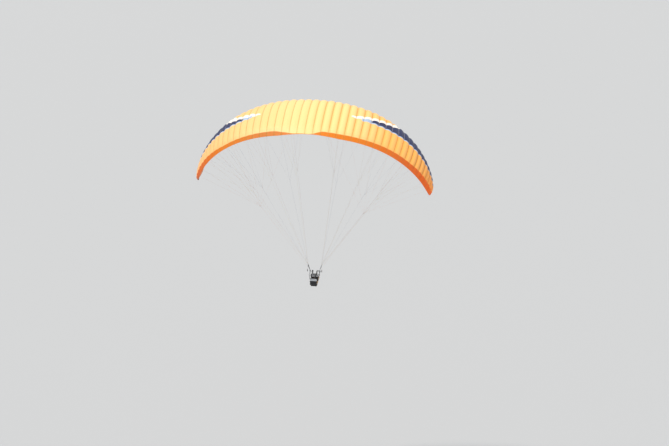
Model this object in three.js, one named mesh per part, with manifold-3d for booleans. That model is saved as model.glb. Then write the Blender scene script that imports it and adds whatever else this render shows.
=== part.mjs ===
// Tandem paraglider: ram-air canopy, main stays, risers, spreader bars, brakes and two harnesses.
// Millimetres, +X to the pilot's right, +Y the way it flies, +Z up.
// The origin is the canopy's lift point, on the chord line of the middle of the wing.

import * as THREE from 'three';
import { mergeVertices } from 'three/addons/utils/BufferGeometryUtils.js';
import Module from 'manifold-3d';

const wasm = await Module();
wasm.setup();

// Canopy, driving dimensions
const FLAT_SPAN = 14400;
const CENTRE_CHORD = 3000;
const TIP_CHORD_RATIO = 0.205;
const PLANFORM_POWER = 1.52;
const TIP_SWEEP = 265;
const TIP_ANGLE = 1.31;
const ARC_POWER = 1.37;
const LIFT_POINT = 0.30;
const INCIDENCE = THREE.MathUtils.degToRad(6.5);
const CELLS = 45;
const CELLS_PER_SECTION = 5;
const CENTRE_CELL_GAIN = 0.13;
const CELL_STEPS = 4;
const CLOSED_TIP_CELLS = 3;
const ARC_STEPS = 400;
const BILLOW = 0.12;
const BILLOW_FADE = 0.2;
const THICKNESS = 0.165;
const CAMBER = 0.025;
const UPPER_SHARE = 1.2;
const LOWER_SHARE = 0.8;
const BRAKED_FROM = 0.88;
const BRAKED_ANGLE = THREE.MathUtils.degToRad(17);
const BRAKED_SPAN_START = 0.04;
const BRAKED_SPAN_FULL = 0.20;
const CHORD_STEPS = [0, 0.012, 0.05, 0.12, 0.22, 0.34, 0.48, 0.62, 0.75, 0.88, 1];
const SLOPE_STEP = 0.01;
// The mouth of a cell: chord places, share of the cell left at each side, and the cutting tool's reach
const INTAKE = { from: 0.008, to: 0.05, side: 0.14, proud: 90, depth: 110 };

// Pieces that touch keep this gap, and two points nearer than the second one are the same point
const TOUCH = 0.3;
const SAME_POINT = 0.01;

// Hang points and lines
const HANG_DEPTH = 8900;
const HANG_HALF_WIDTH = 250;
const STAY_RADIUS = 1.2;
const STAY_SIDES = 6;
const STAY_END_GAP = 0.9;
const STAY_SPACING = 4;

// Risers
const RISER_LENGTH = 400;
const RISER_WIDTH = 16;
const RISER_THICKNESS = 4;
const RISER_LEAN = THREE.MathUtils.degToRad(17);

// Rings of bent rod: the maillons that carry the lines, and the carabiners
const MAILLON = { rod: 2.5, halfWidth: 11, height: 34, corner: 5, sides: 6 };
const MAIN_RING = { rod: 5, halfWidth: 17, height: 76, corner: 8, sides: 8 };
const HARNESS_RING = { rod: 4.5, halfWidth: 16, height: 66, corner: 6, sides: 8 };
const RING_ARC_STEPS = 2;

// Webbing sewn round a rod: its clearance, its wall, and how deep a strap's end is sunk in it
const SLEEVE_GAP = 0.4;
const SLEEVE_WALL = 3.5;
const WRAP_WALL = 2;
const WRAP_SIDES = 12;
const WRAP_END_ROOM = 1;
const STRAP_SINK = 2;
const BORE_OVERSHOOT = 14;

// Spreader bars
const SPREADER_THICKNESS = 8;
const SPREADER_END_RADIUS = 19;
const SPREADER_END_SIDES = 20;
const SPREADER_HUB_RADIUS = 30;
const SPREADER_HUB_SIDES = 24;
const PIN_PLAY = 0.85;
const PILOT_HOLE = { y: -240, z: -30 };
const PASSENGER_HOLE = { y: 240, z: -70 };

// Brakes
const BRAKE_OUTBOARD = 45;
const BRAKE_Y = -75;
const PULLEY_HEIGHT = 330;
const PULLEY_RADIUS = 12;
const PULLEY_WIDTH = 10;
const PULLEY_SIDES = 20;
// The tab that ties the pulley to the rear riser: its section, its start on the riser, its end on the wheel
const PULLEY_TAB = { thickness: 2, width: 10, rise: 30, inset: 3, behind: 1.5 };
const PULLEY_TAB_END = { inboard: 4, ahead: 3, up: 4 };
const BRAKE_DROP = 130;
const KNOB = { topRadius: 7, bottomRadius: 9, length: 26, sides: 12 };
const HANDLE_HEIGHT = 130;
const HANDLE_WIDTH = 92;
const HANDLE_STRAP = 20;
const HANDLE_THICKNESS = 4;
// share of the handle's half width, share of its height under the line's end
const HANDLE_OUTLINE = [
  [0, 0.154], [0.45, 0.262], [0.95, 0.62], [1, 0.82], [0.78, 0.97],
  [0, 1], [-0.78, 0.97], [-1, 0.82], [-0.95, 0.62], [-0.45, 0.262],
];

// Harnesses, measured from their own hang points
const SEAT_HALF_WIDTH = 200;
const BOARD_TOP = -440;
const BOARD_THICKNESS = 9;
const BOARD_HALF_WIDTH = 185;
const BOARD_BACK = -185;
const BOARD_FRONT = 115;
const SEAT_TOP = BOARD_TOP - BOARD_THICKNESS - 2 * TOUCH;
const SEAT_UNDERSIDE = -514;
// y, z of the shell's outline, seat and back in one piece
const SHELL_OUTLINE = [
  [130, SEAT_TOP], [124, -492], [60, -506], [-190, SEAT_UNDERSIDE], [-246, -486], [-268, -430],
  [-306, -60], [-296, -36], [-272, -40], [-262, -70], [-222, -400], [-212, SEAT_TOP],
];

// Harness webbing; BEND_ROOM is what a strap's edge needs where its path turns at the shell
const HARNESS_STRAP_WIDTH = 42;
const HARNESS_STRAP_THICKNESS = 4;
const HARNESS_SLEEVE_WIDTH = 18;
const REAR_STRAP_WIDTH = 28;
const SHOULDER_STRAP_WIDTH = 38;
const CHEST_STRAP_WIDTH = 30;
const CHEST_STRAP_THICKNESS = 3;
const LEG_STRAP_WIDTH = 38;
const LEG_STRAP_THICKNESS = 3;
const BEND_ROOM = 0.6;
const TRIM_REACH = 90;
const STRAP_AT_SHELL = SEAT_HALF_WIDTH + TOUCH + HARNESS_STRAP_THICKNESS / 2;

// Paths of the straps of one side: distance from the middle of the harness, y, z
const MAIN_STRAP_BENDS = [
  [STRAP_AT_SHELL + BEND_ROOM, 14, BOARD_TOP + 30],
  [STRAP_AT_SHELL, 15, BOARD_TOP],
  [STRAP_AT_SHELL, 16, BOARD_TOP - 50],
];
const REAR_STRAP_BENDS = [
  [STRAP_AT_SHELL + 3 * BEND_ROOM, -200, -182],
  [STRAP_AT_SHELL + BEND_ROOM, -240, -204],
  [STRAP_AT_SHELL + BEND_ROOM, -270, -220],
];
const SHOULDER_STRAP_PATH = [
  [118, -278, -36 + 2 * TOUCH], [112, -262, 30], [110, -190, 78],
  [122, -96, 64], [170, -18, -20], [236, 0, -150],
];
// The chest strap from the main strap to the middle, mirrored for the other side: as above
const CHEST_STRAP_PATH = [
  [HANG_HALF_WIDTH, 4, -260], [190, 40, -263], [100, 72, -266], [0, 84, -268],
];
// The thigh strap starts under the seat's front edge, and it turns from level to upright: the last
// column is how far it has turned
const LEG_STRAP_Y = SHELL_OUTLINE[0][0] + TOUCH + LEG_STRAP_THICKNESS / 2 + 0.1;
const LEG_STRAP_PATH = [
  [60, LEG_STRAP_Y - 6.1, -492, 0],
  [60, LEG_STRAP_Y + BEND_ROOM, SEAT_TOP, 0],
  [92, LEG_STRAP_Y + 22, -392, 0.25],
  [150, LEG_STRAP_Y - 24, -344, 0.6],
  [196, 58, -326, 0.85],
  [226, 18, -318, 1],
];

// Reserve container, hung under the pilot's seat
const CONTAINER = { halfWidth: 150, halfDepth: 125, corner: 40, height: 70, edge: 16, behind: 60 };
const CONTAINER_CORNER_STEPS = 5;
const CONTAINER_EDGE_STEPS = 2;

const COLOURS = {
  canopy: 0xf2a53a,
  line: 0xd8d2c4,
  webbing: 0x23262b,
  steel: 0xb9bdc2,
  alloy: 0x8e949c,
  harness: 0x1d1f23,
  board: 0xa98556,
  handle: 0x2b2f36,
};

const part = new THREE.Group();

function material(colour, roughness = 0.8, metalness = 0) {
  return new THREE.MeshStandardMaterial({ color: COLOURS[colour], roughness, metalness });
}

function addMesh(name, geometry, colour, parent = part) {
  const metal = colour === 'steel' || colour === 'alloy';
  const mesh = new THREE.Mesh(geometry, material(colour, metal ? 0.35 : 0.8, metal ? 0.9 : 0));
  mesh.name = name;
  parent.add(mesh);
  return mesh;
}

// Closed surfaces from rings of points

function geometryFrom(points, triangles) {
  const geometry = new THREE.BufferGeometry();
  geometry.setAttribute('position', new THREE.Float32BufferAttribute(points.flatMap((p) => p.toArray()), 3));
  geometry.setIndex(triangles.flat());
  return facingOut(geometry);
}

function facingOut(geometry) {
  const position = geometry.attributes.position;
  const index = geometry.index.array;
  const corner = [new THREE.Vector3(), new THREE.Vector3(), new THREE.Vector3()];
  let volume = 0;
  for (let i = 0; i < index.length; i += 3) {
    corner.forEach((c, k) => c.fromBufferAttribute(position, index[i + k]));
    volume += corner[0].dot(corner[1].clone().cross(corner[2]));
  }
  if (volume < 0) {
    for (let i = 0; i < index.length; i += 3) {
      [index[i], index[i + 1]] = [index[i + 1], index[i]];
    }
  }
  return geometry;
}

function fanCap(count) {
  return Array.from({ length: count - 2 }, (_, i) => [0, i + 1, i + 2]);
}

function loft(rings, { closed = false, cap = fanCap(rings[0].length) } = {}) {
  const count = rings[0].length;
  const triangles = [];
  const spans = closed ? rings.length : rings.length - 1;
  for (let r = 0; r < spans; r += 1) {
    const here = r * count;
    const next = ((r + 1) % rings.length) * count;
    for (let i = 0; i < count; i += 1) {
      const j = (i + 1) % count;
      triangles.push([here + i, here + j, next + j], [here + i, next + j, next + i]);
    }
  }
  if (!closed) {
    const last = (rings.length - 1) * count;
    cap.forEach(([a, b, c]) => {
      triangles.push([a, c, b], [last + a, last + b, last + c]);
    });
  }
  return geometryFrom(rings.flat(), triangles);
}

function tangentAt(points, i, closed) {
  const n = points.length;
  const before = closed ? points[(i + n - 1) % n] : points[Math.max(i - 1, 0)];
  const after = closed ? points[(i + 1) % n] : points[Math.min(i + 1, n - 1)];
  return after.clone().sub(before).normalize();
}

// A section swept along points; side is the section's first direction, the second is square to it.
// A strap that twists has a list of sides, one for each point.
function sweep(points, side, section, closed = false) {
  const rings = points.map((p, i) => {
    const along = tangentAt(points, i, closed);
    const second = along.clone().cross(Array.isArray(side) ? side[i] : side).normalize();
    const first = second.clone().cross(along).normalize();
    return section.map(([a, b]) => p.clone().addScaledVector(first, a).addScaledVector(second, b));
  });
  return loft(rings, { closed });
}

function roundSection(radius, sides) {
  return Array.from({ length: sides }, (_, i) => {
    const angle = ((i + 0.5) / sides) * Math.PI * 2;
    return [radius * Math.cos(angle), radius * Math.sin(angle)];
  });
}

function flatSection(width, thickness) {
  const w = width / 2;
  const t = thickness / 2;
  return [[-w, -t], [w, -t], [w, t], [-w, t]];
}

const AXIS_X = new THREE.Vector3(1, 0, 0);
const AXIS_Y = new THREE.Vector3(0, 1, 0);
const AXIS_Z = new THREE.Vector3(0, 0, 1);

const vec = (x, y, z) => new THREE.Vector3(x, y, z);

function box(low, high) {
  const size = high.clone().sub(low);
  const geometry = new THREE.BoxGeometry(size.x, size.y, size.z);
  const middle = low.clone().add(high).multiplyScalar(0.5);
  return geometry.translate(middle.x, middle.y, middle.z);
}

// A round bar with its axis along X
function barAlongX(centre, radius, length, sides = 16) {
  const geometry = new THREE.CylinderGeometry(radius, radius, length, sides);
  return geometry.rotateZ(Math.PI / 2).translate(centre.x, centre.y, centre.z);
}

// An upright ring in the XZ plane: its upper rod runs along X through the point given
function ring(top, { rod, halfWidth, height, corner, sides }) {
  const shape = new THREE.Shape();
  const w = halfWidth;
  shape.moveTo(-w + corner, 0);
  shape.lineTo(w - corner, 0);
  shape.absarc(w - corner, -corner, corner, Math.PI / 2, 0, true);
  shape.absarc(w - corner, -height + corner, corner, 0, -Math.PI / 2, true);
  shape.absarc(-w + corner, -height + corner, corner, -Math.PI / 2, -Math.PI, true);
  shape.absarc(-w + corner, -corner, corner, Math.PI, Math.PI / 2, true);
  const outline = shape.getPoints(RING_ARC_STEPS);
  const points = [];
  outline.forEach((p) => {
    const point = vec(top.x + p.x, top.y, top.z + p.y);
    if (!points.length || points[points.length - 1].distanceTo(point) > SAME_POINT) {
      points.push(point);
    }
  });
  if (points[0].distanceTo(points[points.length - 1]) < SAME_POINT) {
    points.pop();
  }
  return sweep(points, AXIS_Y, roundSection(rod, sides), true);
}

// Solids joined and cut

function asSolid(geometry) {
  const plain = geometry.clone();
  plain.deleteAttribute('normal');
  plain.deleteAttribute('uv');
  const merged = mergeVertices(plain, 1e-4);
  return new wasm.Manifold(new wasm.Mesh({
    numProp: 3,
    vertProperties: new Float32Array(merged.attributes.position.array),
    triVerts: new Uint32Array(merged.index.array),
  }));
}

function asGeometry(solid) {
  const mesh = solid.getMesh();
  const geometry = new THREE.BufferGeometry();
  geometry.setAttribute('position', new THREE.BufferAttribute(mesh.vertProperties, 3));
  geometry.setIndex(new THREE.BufferAttribute(mesh.triVerts, 1));
  return geometry;
}

function joined(...geometries) {
  return asGeometry(geometries.map(asSolid).reduce((sum, next) => sum.add(next)));
}

function cut(geometry, ...tools) {
  return asGeometry(tools.map(asSolid).reduce((rest, tool) => rest.subtract(tool), asSolid(geometry)));
}

// The wing's arc, planform and section

function arcTable() {
  const half = FLAT_SPAN / 2;
  const table = [{ u: 0, x: 0, z: 0 }];
  for (let i = 1; i <= ARC_STEPS; i += 1) {
    const angle = TIP_ANGLE * ((i - 0.5) / ARC_STEPS) ** ARC_POWER;
    const last = table[table.length - 1];
    table.push({
      u: i / ARC_STEPS,
      x: last.x + (Math.cos(angle) * half) / ARC_STEPS,
      z: last.z - (Math.sin(angle) * half) / ARC_STEPS,
    });
  }
  return table;
}

const ARC = arcTable();

function arcAt(u) {
  const place = Math.min(Math.abs(u), 1) * ARC_STEPS;
  const i = Math.min(Math.floor(place), ARC_STEPS - 1);
  const f = place - i;
  const sign = Math.sign(u) || 1;
  return {
    x: sign * (ARC[i].x + f * (ARC[i + 1].x - ARC[i].x)),
    z: ARC[i].z + f * (ARC[i + 1].z - ARC[i].z),
    angle: sign * TIP_ANGLE * Math.abs(u) ** ARC_POWER,
  };
}

function chordAt(u) {
  const round = Math.sqrt(Math.max(0, 1 - Math.abs(u) ** PLANFORM_POWER));
  return CENTRE_CHORD * (TIP_CHORD_RATIO + (1 - TIP_CHORD_RATIO) * round);
}

function leadingEdgeAt(u) {
  const middle = (LIFT_POINT - 0.5) * CENTRE_CHORD - TIP_SWEEP * u * u;
  return middle + chordAt(u) / 2;
}

function ribSpan(rib) {
  const q = (2 * rib) / CELLS - 1;
  return q * (1 + CENTRE_CELL_GAIN * (1 - q * q));
}

// Height of the skin over the chord line, as a share of the chord: the thickness formula of the
// four-digit aerofoils on a parabolic mean line, with the rear edge pulled down by the brakes
function profileHeight(xi, upper, u) {
  const round = 0.2969 * Math.sqrt(xi) - 0.126 * xi;
  const half = 5 * THICKNESS * (round - 0.3516 * xi ** 2 + 0.2843 * xi ** 3 - 0.103 * xi ** 4);
  const mean = CAMBER * 4 * xi * (1 - xi);
  const ramp = (Math.abs(u) - BRAKED_SPAN_START) / (BRAKED_SPAN_FULL - BRAKED_SPAN_START);
  const pulled = Math.tan(BRAKED_ANGLE) * THREE.MathUtils.clamp(ramp, 0, 1) * Math.max(0, xi - BRAKED_FROM);
  return mean - pulled + (upper ? UPPER_SHARE * half : -LOWER_SHARE * half);
}

// Outward direction of the skin in the section's own plane: back along the chord, and up
function profileNormal(xi, upper, u) {
  if (xi === 0) {
    return { back: -1, up: 0 };
  }
  const step = Math.min(SLOPE_STEP, xi / 2);
  const ahead = Math.max(0, xi - step);
  const behind = Math.min(1, xi + step);
  const rise = profileHeight(behind, upper, u) - profileHeight(ahead, upper, u);
  const run = behind - ahead;
  const length = Math.hypot(rise, run);
  const sign = upper ? 1 : -1;
  return { back: (-rise * sign) / length, up: (run * sign) / length };
}

function skinPoint(u, xi, upper, proud = 0) {
  const arc = arcAt(u);
  const chord = chordAt(u);
  const normal = profileNormal(xi, upper, u);
  const up = chord * profileHeight(xi, upper, u) + proud * normal.up;
  const y = leadingEdgeAt(u) - chord * xi - proud * normal.back;
  return vec(arc.x + up * Math.sin(arc.angle), y, arc.z + up * Math.cos(arc.angle));
}

function sectionRing(u, sag) {
  const proud = (xi) => sag * THREE.MathUtils.clamp((1 - xi) / BILLOW_FADE, 0, 1);
  const upper = [...CHORD_STEPS].reverse().map((xi) => skinPoint(u, xi, true, proud(xi)));
  const lower = CHORD_STEPS.slice(1).map((xi) => skinPoint(u, xi, false, proud(xi)));
  return [...upper, ...lower];
}

// End caps are ladders between the upper and lower skin, because the section isn't convex
function sectionCap() {
  const n = CHORD_STEPS.length;
  const last = 2 * n - 2;
  const cap = [];
  for (let i = 0; i < n - 1; i += 1) {
    const farUpper = i;
    const nearUpper = i + 1;
    const farLower = last - i;
    const nearLower = last - i - 1;
    cap.push([farUpper, nearUpper, farLower]);
    if (nearUpper !== nearLower) {
      cap.push([nearUpper, nearLower, farLower]);
    }
  }
  return cap;
}

function canopySection(firstRib) {
  const half = FLAT_SPAN / 2;
  const lastRib = firstRib + CELLS_PER_SECTION;
  const rings = [];
  for (let rib = firstRib; rib < lastRib; rib += 1) {
    const from = ribSpan(rib);
    const width = (ribSpan(rib + 1) - from) * half;
    for (let step = rib === firstRib ? 0 : 1; step <= CELL_STEPS; step += 1) {
      const f = step / CELL_STEPS;
      let u = from + (f * width) / half;
      if (rib === firstRib && step === 0 && firstRib > 0) {
        u += TOUCH / 2 / half;
      }
      if (rib === lastRib - 1 && step === CELL_STEPS && lastRib < CELLS) {
        u -= TOUCH / 2 / half;
      }
      rings.push(sectionRing(u, BILLOW * width * 4 * f * (1 - f)));
    }
  }
  const openCells = Array.from({ length: CELLS_PER_SECTION }, (_, i) => firstRib + i).filter((cell) => (
    cell >= CLOSED_TIP_CELLS && cell < CELLS - CLOSED_TIP_CELLS
  ));
  return cut(loft(rings, { cap: sectionCap() }), ...openCells.map(intakeTool));
}

// The recess of one cell's air intake, in the lower skin just behind the leading edge
function intakeTool(cell) {
  const from = ribSpan(cell);
  const width = ribSpan(cell + 1) - from;
  const low = from + INTAKE.side * width;
  const high = from + (1 - INTAKE.side) * width;
  const rings = [INTAKE.proud, -INTAKE.depth].map((proud) => [
    skinPoint(low, INTAKE.from, false, proud),
    skinPoint(low, INTAKE.to, false, proud),
    skinPoint(high, INTAKE.to, false, proud),
    skinPoint(high, INTAKE.from, false, proud),
  ]);
  return loft(rings);
}

const canopy = new THREE.Group();
canopy.rotation.x = INCIDENCE;
part.add(canopy);
for (let first = 0; first < CELLS; first += CELLS_PER_SECTION) {
  const number = first / CELLS_PER_SECTION + 1;
  addMesh(`canopy_section_${number}`, canopySection(first), 'canopy', canopy);
}

// Hang points: every piece below the maillons is placed from here
const mainHang = (side) => vec(side * HANG_HALF_WIDTH, 0, -HANG_DEPTH);

// Risers: one loop on the main carabiner, three straps, each ending in its maillon
// row, y of the maillon, height of the maillon's lower rod over the hang point
const RISERS = [
  { row: 'a', y: 52, height: RISER_LENGTH },
  { row: 'b', y: 0, height: RISER_LENGTH },
  { row: 'c', y: -52, height: RISER_LENGTH },
];

// The lines pull the risers outwards: they lean about the middle of their loop
const loopMiddle = (side) => mainHang(side).add(vec(0, 0, MAIN_RING.height));

function leaned(side, place) {
  const middle = loopMiddle(side);
  return place.clone().sub(middle).applyAxisAngle(AXIS_Y, side * RISER_LEAN).add(middle);
}

function leanedBody(side, body) {
  const { x, y, z } = loopMiddle(side);
  return body.translate(-x, -y, -z).rotateY(side * RISER_LEAN).translate(x, y, z);
}

// Top of a maillon while its riser still stands upright
function maillonTop(side, riser) {
  return mainHang(side).add(vec(0, riser.y, riser.height + MAILLON.height));
}

function riserSet(side) {
  const loopRadius = MAIN_RING.rod + SLEEVE_GAP + SLEEVE_WALL;
  const loopCentre = loopMiddle(side);
  const sleeve = barAlongX(loopCentre, loopRadius, RISER_WIDTH);
  const bore = barAlongX(loopCentre, MAIN_RING.rod + SLEEVE_GAP, RISER_WIDTH + 2 * BORE_OVERSHOOT);
  const start = loopCentre.clone().add(vec(0, 0, loopRadius - STRAP_SINK));
  const wrapRadius = MAILLON.rod + SLEEVE_GAP + WRAP_WALL;
  const wrapWidth = 2 * (MAILLON.halfWidth - MAILLON.corner) - WRAP_END_ROOM;
  const straps = RISERS.flatMap((riser) => {
    const rodTop = maillonTop(side, riser);
    const end = rodTop.clone().add(vec(0, 0, -MAILLON.height));
    const strap = sweep([start, end], AXIS_X, flatSection(RISER_WIDTH, RISER_THICKNESS));
    const wrap = barAlongX(end, wrapRadius, wrapWidth, WRAP_SIDES);
    return [strap, wrap, ring(rodTop, MAILLON)].map((body) => leanedBody(side, body));
  });
  return cut(joined(sleeve, ...straps), bore);
}

// Main stays: each is one straight line from its maillon to a rib of the canopy
// row of its riser, number, rib of the right half, chord place
const STAYS = [
  { row: 'a', number: 1, rib: 26, xi: 0.12 },
  { row: 'a', number: 2, rib: 32, xi: 0.12 },
  { row: 'a', number: 3, rib: 38, xi: 0.12 },
  { row: 'b', number: 1, rib: 26, xi: 0.34 },
  { row: 'b', number: 2, rib: 32, xi: 0.34 },
  { row: 'b', number: 3, rib: 38, xi: 0.34 },
  { row: 'c', number: 1, rib: 27, xi: 0.62 },
  { row: 'c', number: 2, rib: 34, xi: 0.62 },
];
const BRAKE_RIB = 36;

function underCanopy(side, rib, xi) {
  const u = side * ribSpan(rib);
  return skinPoint(u, xi, false, STAY_END_GAP).applyAxisAngle(AXIS_X, INCIDENCE);
}

function stay(from, to) {
  return sweep([from, to], AXIS_Y, roundSection(STAY_RADIUS, STAY_SIDES));
}

function staysOf(side, sideName) {
  STAYS.forEach(({ row, number, rib, xi }) => {
    const riser = RISERS.find((r) => r.row === row);
    const inRow = STAYS.filter((s) => s.row === row).length;
    const offset = side * (number - (inRow + 1) / 2) * STAY_SPACING;
    const overRod = maillonTop(side, riser).add(vec(offset, 0, MAILLON.rod + STAY_END_GAP));
    const from = leaned(side, overRod);
    addMesh(`stay_${row}${number}_${sideName}`, stay(from, underCanopy(side, rib, xi)), 'line');
  });
}

// Spreader bar: a flat plate, pilot's hole behind and passenger's hole in front
function armOutline(hole) {
  const length = Math.hypot(hole.y, hole.z);
  const square = { y: -hole.z / length, z: hole.y / length };
  return [
    [hole.y + square.y * SPREADER_END_RADIUS, hole.z + square.z * SPREADER_END_RADIUS],
    [hole.y - square.y * SPREADER_END_RADIUS, hole.z - square.z * SPREADER_END_RADIUS],
    [-square.y * SPREADER_HUB_RADIUS, -square.z * SPREADER_HUB_RADIUS],
    [square.y * SPREADER_HUB_RADIUS, square.z * SPREADER_HUB_RADIUS],
  ];
}

// A profile in the YZ plane made as deep as given along X
function alongX(outline, depth, x) {
  const shape = new THREE.Shape(outline.map(([y, z]) => new THREE.Vector2(y, z)));
  const body = new THREE.ExtrudeGeometry(shape, { depth, bevelEnabled: false });
  const upright = new THREE.Matrix4().makeBasis(vec(0, 1, 0), vec(0, 0, 1), vec(1, 0, 0));
  return body.applyMatrix4(upright).translate(x - depth / 2, 0, 0);
}

function spreader(side) {
  const x = side * HANG_HALF_WIDTH;
  const pilot = vec(x, PILOT_HOLE.y, PILOT_HOLE.z);
  const passenger = vec(x, PASSENGER_HOLE.y, PASSENGER_HOLE.z);
  const hub = vec(x, 0, 0);
  const arms = [PILOT_HOLE, PASSENGER_HOLE].map((hole) => alongX(armOutline(hole), SPREADER_THICKNESS, x));
  const ends = [
    barAlongX(hub, SPREADER_HUB_RADIUS, SPREADER_THICKNESS, SPREADER_HUB_SIDES),
    barAlongX(pilot, SPREADER_END_RADIUS, SPREADER_THICKNESS, SPREADER_END_SIDES),
    barAlongX(passenger, SPREADER_END_RADIUS, SPREADER_THICKNESS, SPREADER_END_SIDES),
  ];
  const boreLength = SPREADER_THICKNESS + 2 * BORE_OVERSHOOT;
  const holes = [[hub, MAIN_RING], [pilot, HARNESS_RING], [passenger, HARNESS_RING]].map(
    ([centre, pin]) => barAlongX(centre, pin.rod + PIN_PLAY, boreLength, SPREADER_HUB_SIDES),
  );
  return cut(joined(...arms, ...ends), ...holes).translate(0, 0, -HANG_DEPTH);
}

// Brakes: a pulley on the rear riser, a line through it and a handle
function pulleyCentre(side) {
  const riserAt = Math.tan(RISER_LEAN) * (PULLEY_HEIGHT - MAIN_RING.height);
  return mainHang(side).add(vec(side * (riserAt + BRAKE_OUTBOARD), BRAKE_Y, PULLEY_HEIGHT));
}

function pulley(side) {
  const centre = pulleyCentre(side);
  const wheel = new THREE.CylinderGeometry(PULLEY_RADIUS, PULLEY_RADIUS, PULLEY_WIDTH, PULLEY_SIDES);
  wheel.translate(centre.x, centre.y, centre.z);
  const rear = RISERS.find((riser) => riser.row === 'c');
  const height = PULLEY_HEIGHT + PULLEY_TAB.rise;
  const share = (height - MAIN_RING.height) / (RISER_LENGTH - MAIN_RING.height);
  const onRiser = leaned(side, mainHang(side).add(vec(
    side * (RISER_WIDTH / 2 - PULLEY_TAB.inset),
    rear.y * share - RISER_THICKNESS / 2 - PULLEY_TAB.behind,
    height,
  )));
  const onWheel = centre.add(vec(-side * PULLEY_TAB_END.inboard, PULLEY_TAB_END.ahead, PULLEY_TAB_END.up));
  const tab = sweep([onRiser, onWheel], AXIS_Y, flatSection(PULLEY_TAB.thickness, PULLEY_TAB.width));
  return joined(wheel, tab);
}

function brakeHandle(side) {
  const top = pulleyCentre(side).add(vec(0, 0, -PULLEY_RADIUS - BRAKE_DROP));
  const knob = new THREE.CylinderGeometry(KNOB.topRadius, KNOB.bottomRadius, KNOB.length, KNOB.sides);
  knob.rotateX(Math.PI / 2).translate(top.x, top.y, top.z - KNOB.length / 2);
  const points = HANDLE_OUTLINE.map(([across, down]) => (
    vec(top.x, top.y + (across * HANDLE_WIDTH) / 2, top.z - down * HANDLE_HEIGHT)
  ));
  const loop = sweep(points, AXIS_X, flatSection(HANDLE_STRAP, HANDLE_THICKNESS), true);
  return joined(knob, loop);
}

// Harnesses: board, seat and back shell, webbing on each side, and for the pilot a reserve container
function seatShell(hang) {
  return alongX(SHELL_OUTLINE, 2 * SEAT_HALF_WIDTH, 0).translate(0, hang.y, hang.z);
}

function seatBoard(hang) {
  return box(
    vec(-BOARD_HALF_WIDTH, hang.y + BOARD_BACK, hang.z + BOARD_TOP - BOARD_THICKNESS),
    vec(BOARD_HALF_WIDTH, hang.y + BOARD_FRONT, hang.z + BOARD_TOP),
  );
}

const HARNESS_LOOP = HARNESS_RING.rod + SLEEVE_GAP + SLEEVE_WALL;

function onSide(side, hang, path) {
  return path.map(([x, y, z]) => vec(side * x, hang.y + y, hang.z + z));
}

function mainStrapLine(side, hang) {
  const top = [HANG_HALF_WIDTH, 0, -HARNESS_RING.height - HARNESS_LOOP + STRAP_SINK];
  return onSide(side, hang, [top, ...MAIN_STRAP_BENDS]);
}

function webbing(side, hang) {
  const loopCentre = vec(side * HANG_HALF_WIDTH, hang.y, hang.z - HARNESS_RING.height);
  const sleeve = barAlongX(loopCentre, HARNESS_LOOP, HARNESS_SLEEVE_WIDTH);
  const boreLength = HARNESS_SLEEVE_WIDTH + 2 * BORE_OVERSHOOT;
  const bore = barAlongX(loopCentre, HARNESS_RING.rod + SLEEVE_GAP, boreLength);
  const mainLine = mainStrapLine(side, hang);
  const main = sweep(mainLine, AXIS_Y, flatSection(HARNESS_STRAP_WIDTH, HARNESS_STRAP_THICKNESS));
  const rearLine = [mainLine[0], ...onSide(side, hang, REAR_STRAP_BENDS)];
  const rear = sweep(rearLine, AXIS_Z, flatSection(REAR_STRAP_WIDTH, HARNESS_STRAP_THICKNESS));
  const shoulderLine = onSide(side, hang, SHOULDER_STRAP_PATH);
  const shoulder = sweep(shoulderLine, AXIS_X, flatSection(SHOULDER_STRAP_WIDTH, HARNESS_STRAP_THICKNESS));
  return cut(joined(sleeve, main, rear, shoulder), bore);
}

// What lies outside the inner face of the main strap on one side, to trim a strap that meets it
function beyondMainStrap(side, hang) {
  const inner = -side * (HARNESS_STRAP_THICKNESS / 2 + TOUCH);
  const outer = side * TRIM_REACH;
  return sweep(mainStrapLine(side, hang).slice(0, 2), AXIS_Y, [
    [-TRIM_REACH, inner], [TRIM_REACH, inner], [TRIM_REACH, outer], [-TRIM_REACH, outer],
  ]);
}

function chestStrap(hang) {
  const left = onSide(-1, hang, CHEST_STRAP_PATH);
  const right = onSide(1, hang, CHEST_STRAP_PATH.slice(0, -1)).reverse();
  const strap = sweep([...left, ...right], AXIS_Z, flatSection(CHEST_STRAP_WIDTH, CHEST_STRAP_THICKNESS));
  return cut(strap, beyondMainStrap(-1, hang), beyondMainStrap(1, hang));
}

// From the seat's front edge over the thigh to the main strap; the right one mirrors the left one
function legStrap(side, hang) {
  const points = onSide(-1, hang, LEG_STRAP_PATH);
  const twist = LEG_STRAP_PATH.map(([, , , turned]) => vec(turned - 1, 0, turned));
  const section = flatSection(LEG_STRAP_WIDTH, LEG_STRAP_THICKNESS);
  const left = cut(sweep(points, twist, section), beyondMainStrap(-1, hang));
  return side < 0 ? left : facingOut(left.scale(-1, 1, 1));
}

function reserveContainer(hang) {
  const shape = new THREE.Shape();
  const { halfWidth: w, halfDepth: d, corner: r, height, edge, behind } = CONTAINER;
  shape.moveTo(-w + r, -d);
  shape.lineTo(w - r, -d);
  shape.absarc(w - r, -d + r, r, -Math.PI / 2, 0, false);
  shape.absarc(w - r, d - r, r, 0, Math.PI / 2, false);
  shape.absarc(-w + r, d - r, r, Math.PI / 2, Math.PI, false);
  shape.absarc(-w + r, -d + r, r, Math.PI, 1.5 * Math.PI, false);
  const pad = new THREE.ExtrudeGeometry(shape, {
    depth: height,
    curveSegments: CONTAINER_CORNER_STEPS,
    bevelSize: edge,
    bevelThickness: edge,
    bevelSegments: CONTAINER_EDGE_STEPS,
  });
  return pad.translate(0, hang.y - behind, hang.z + SEAT_UNDERSIDE - TOUCH - height - edge);
}

const hangOf = (hole) => vec(0, hole.y, hole.z - HANG_DEPTH);

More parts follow.
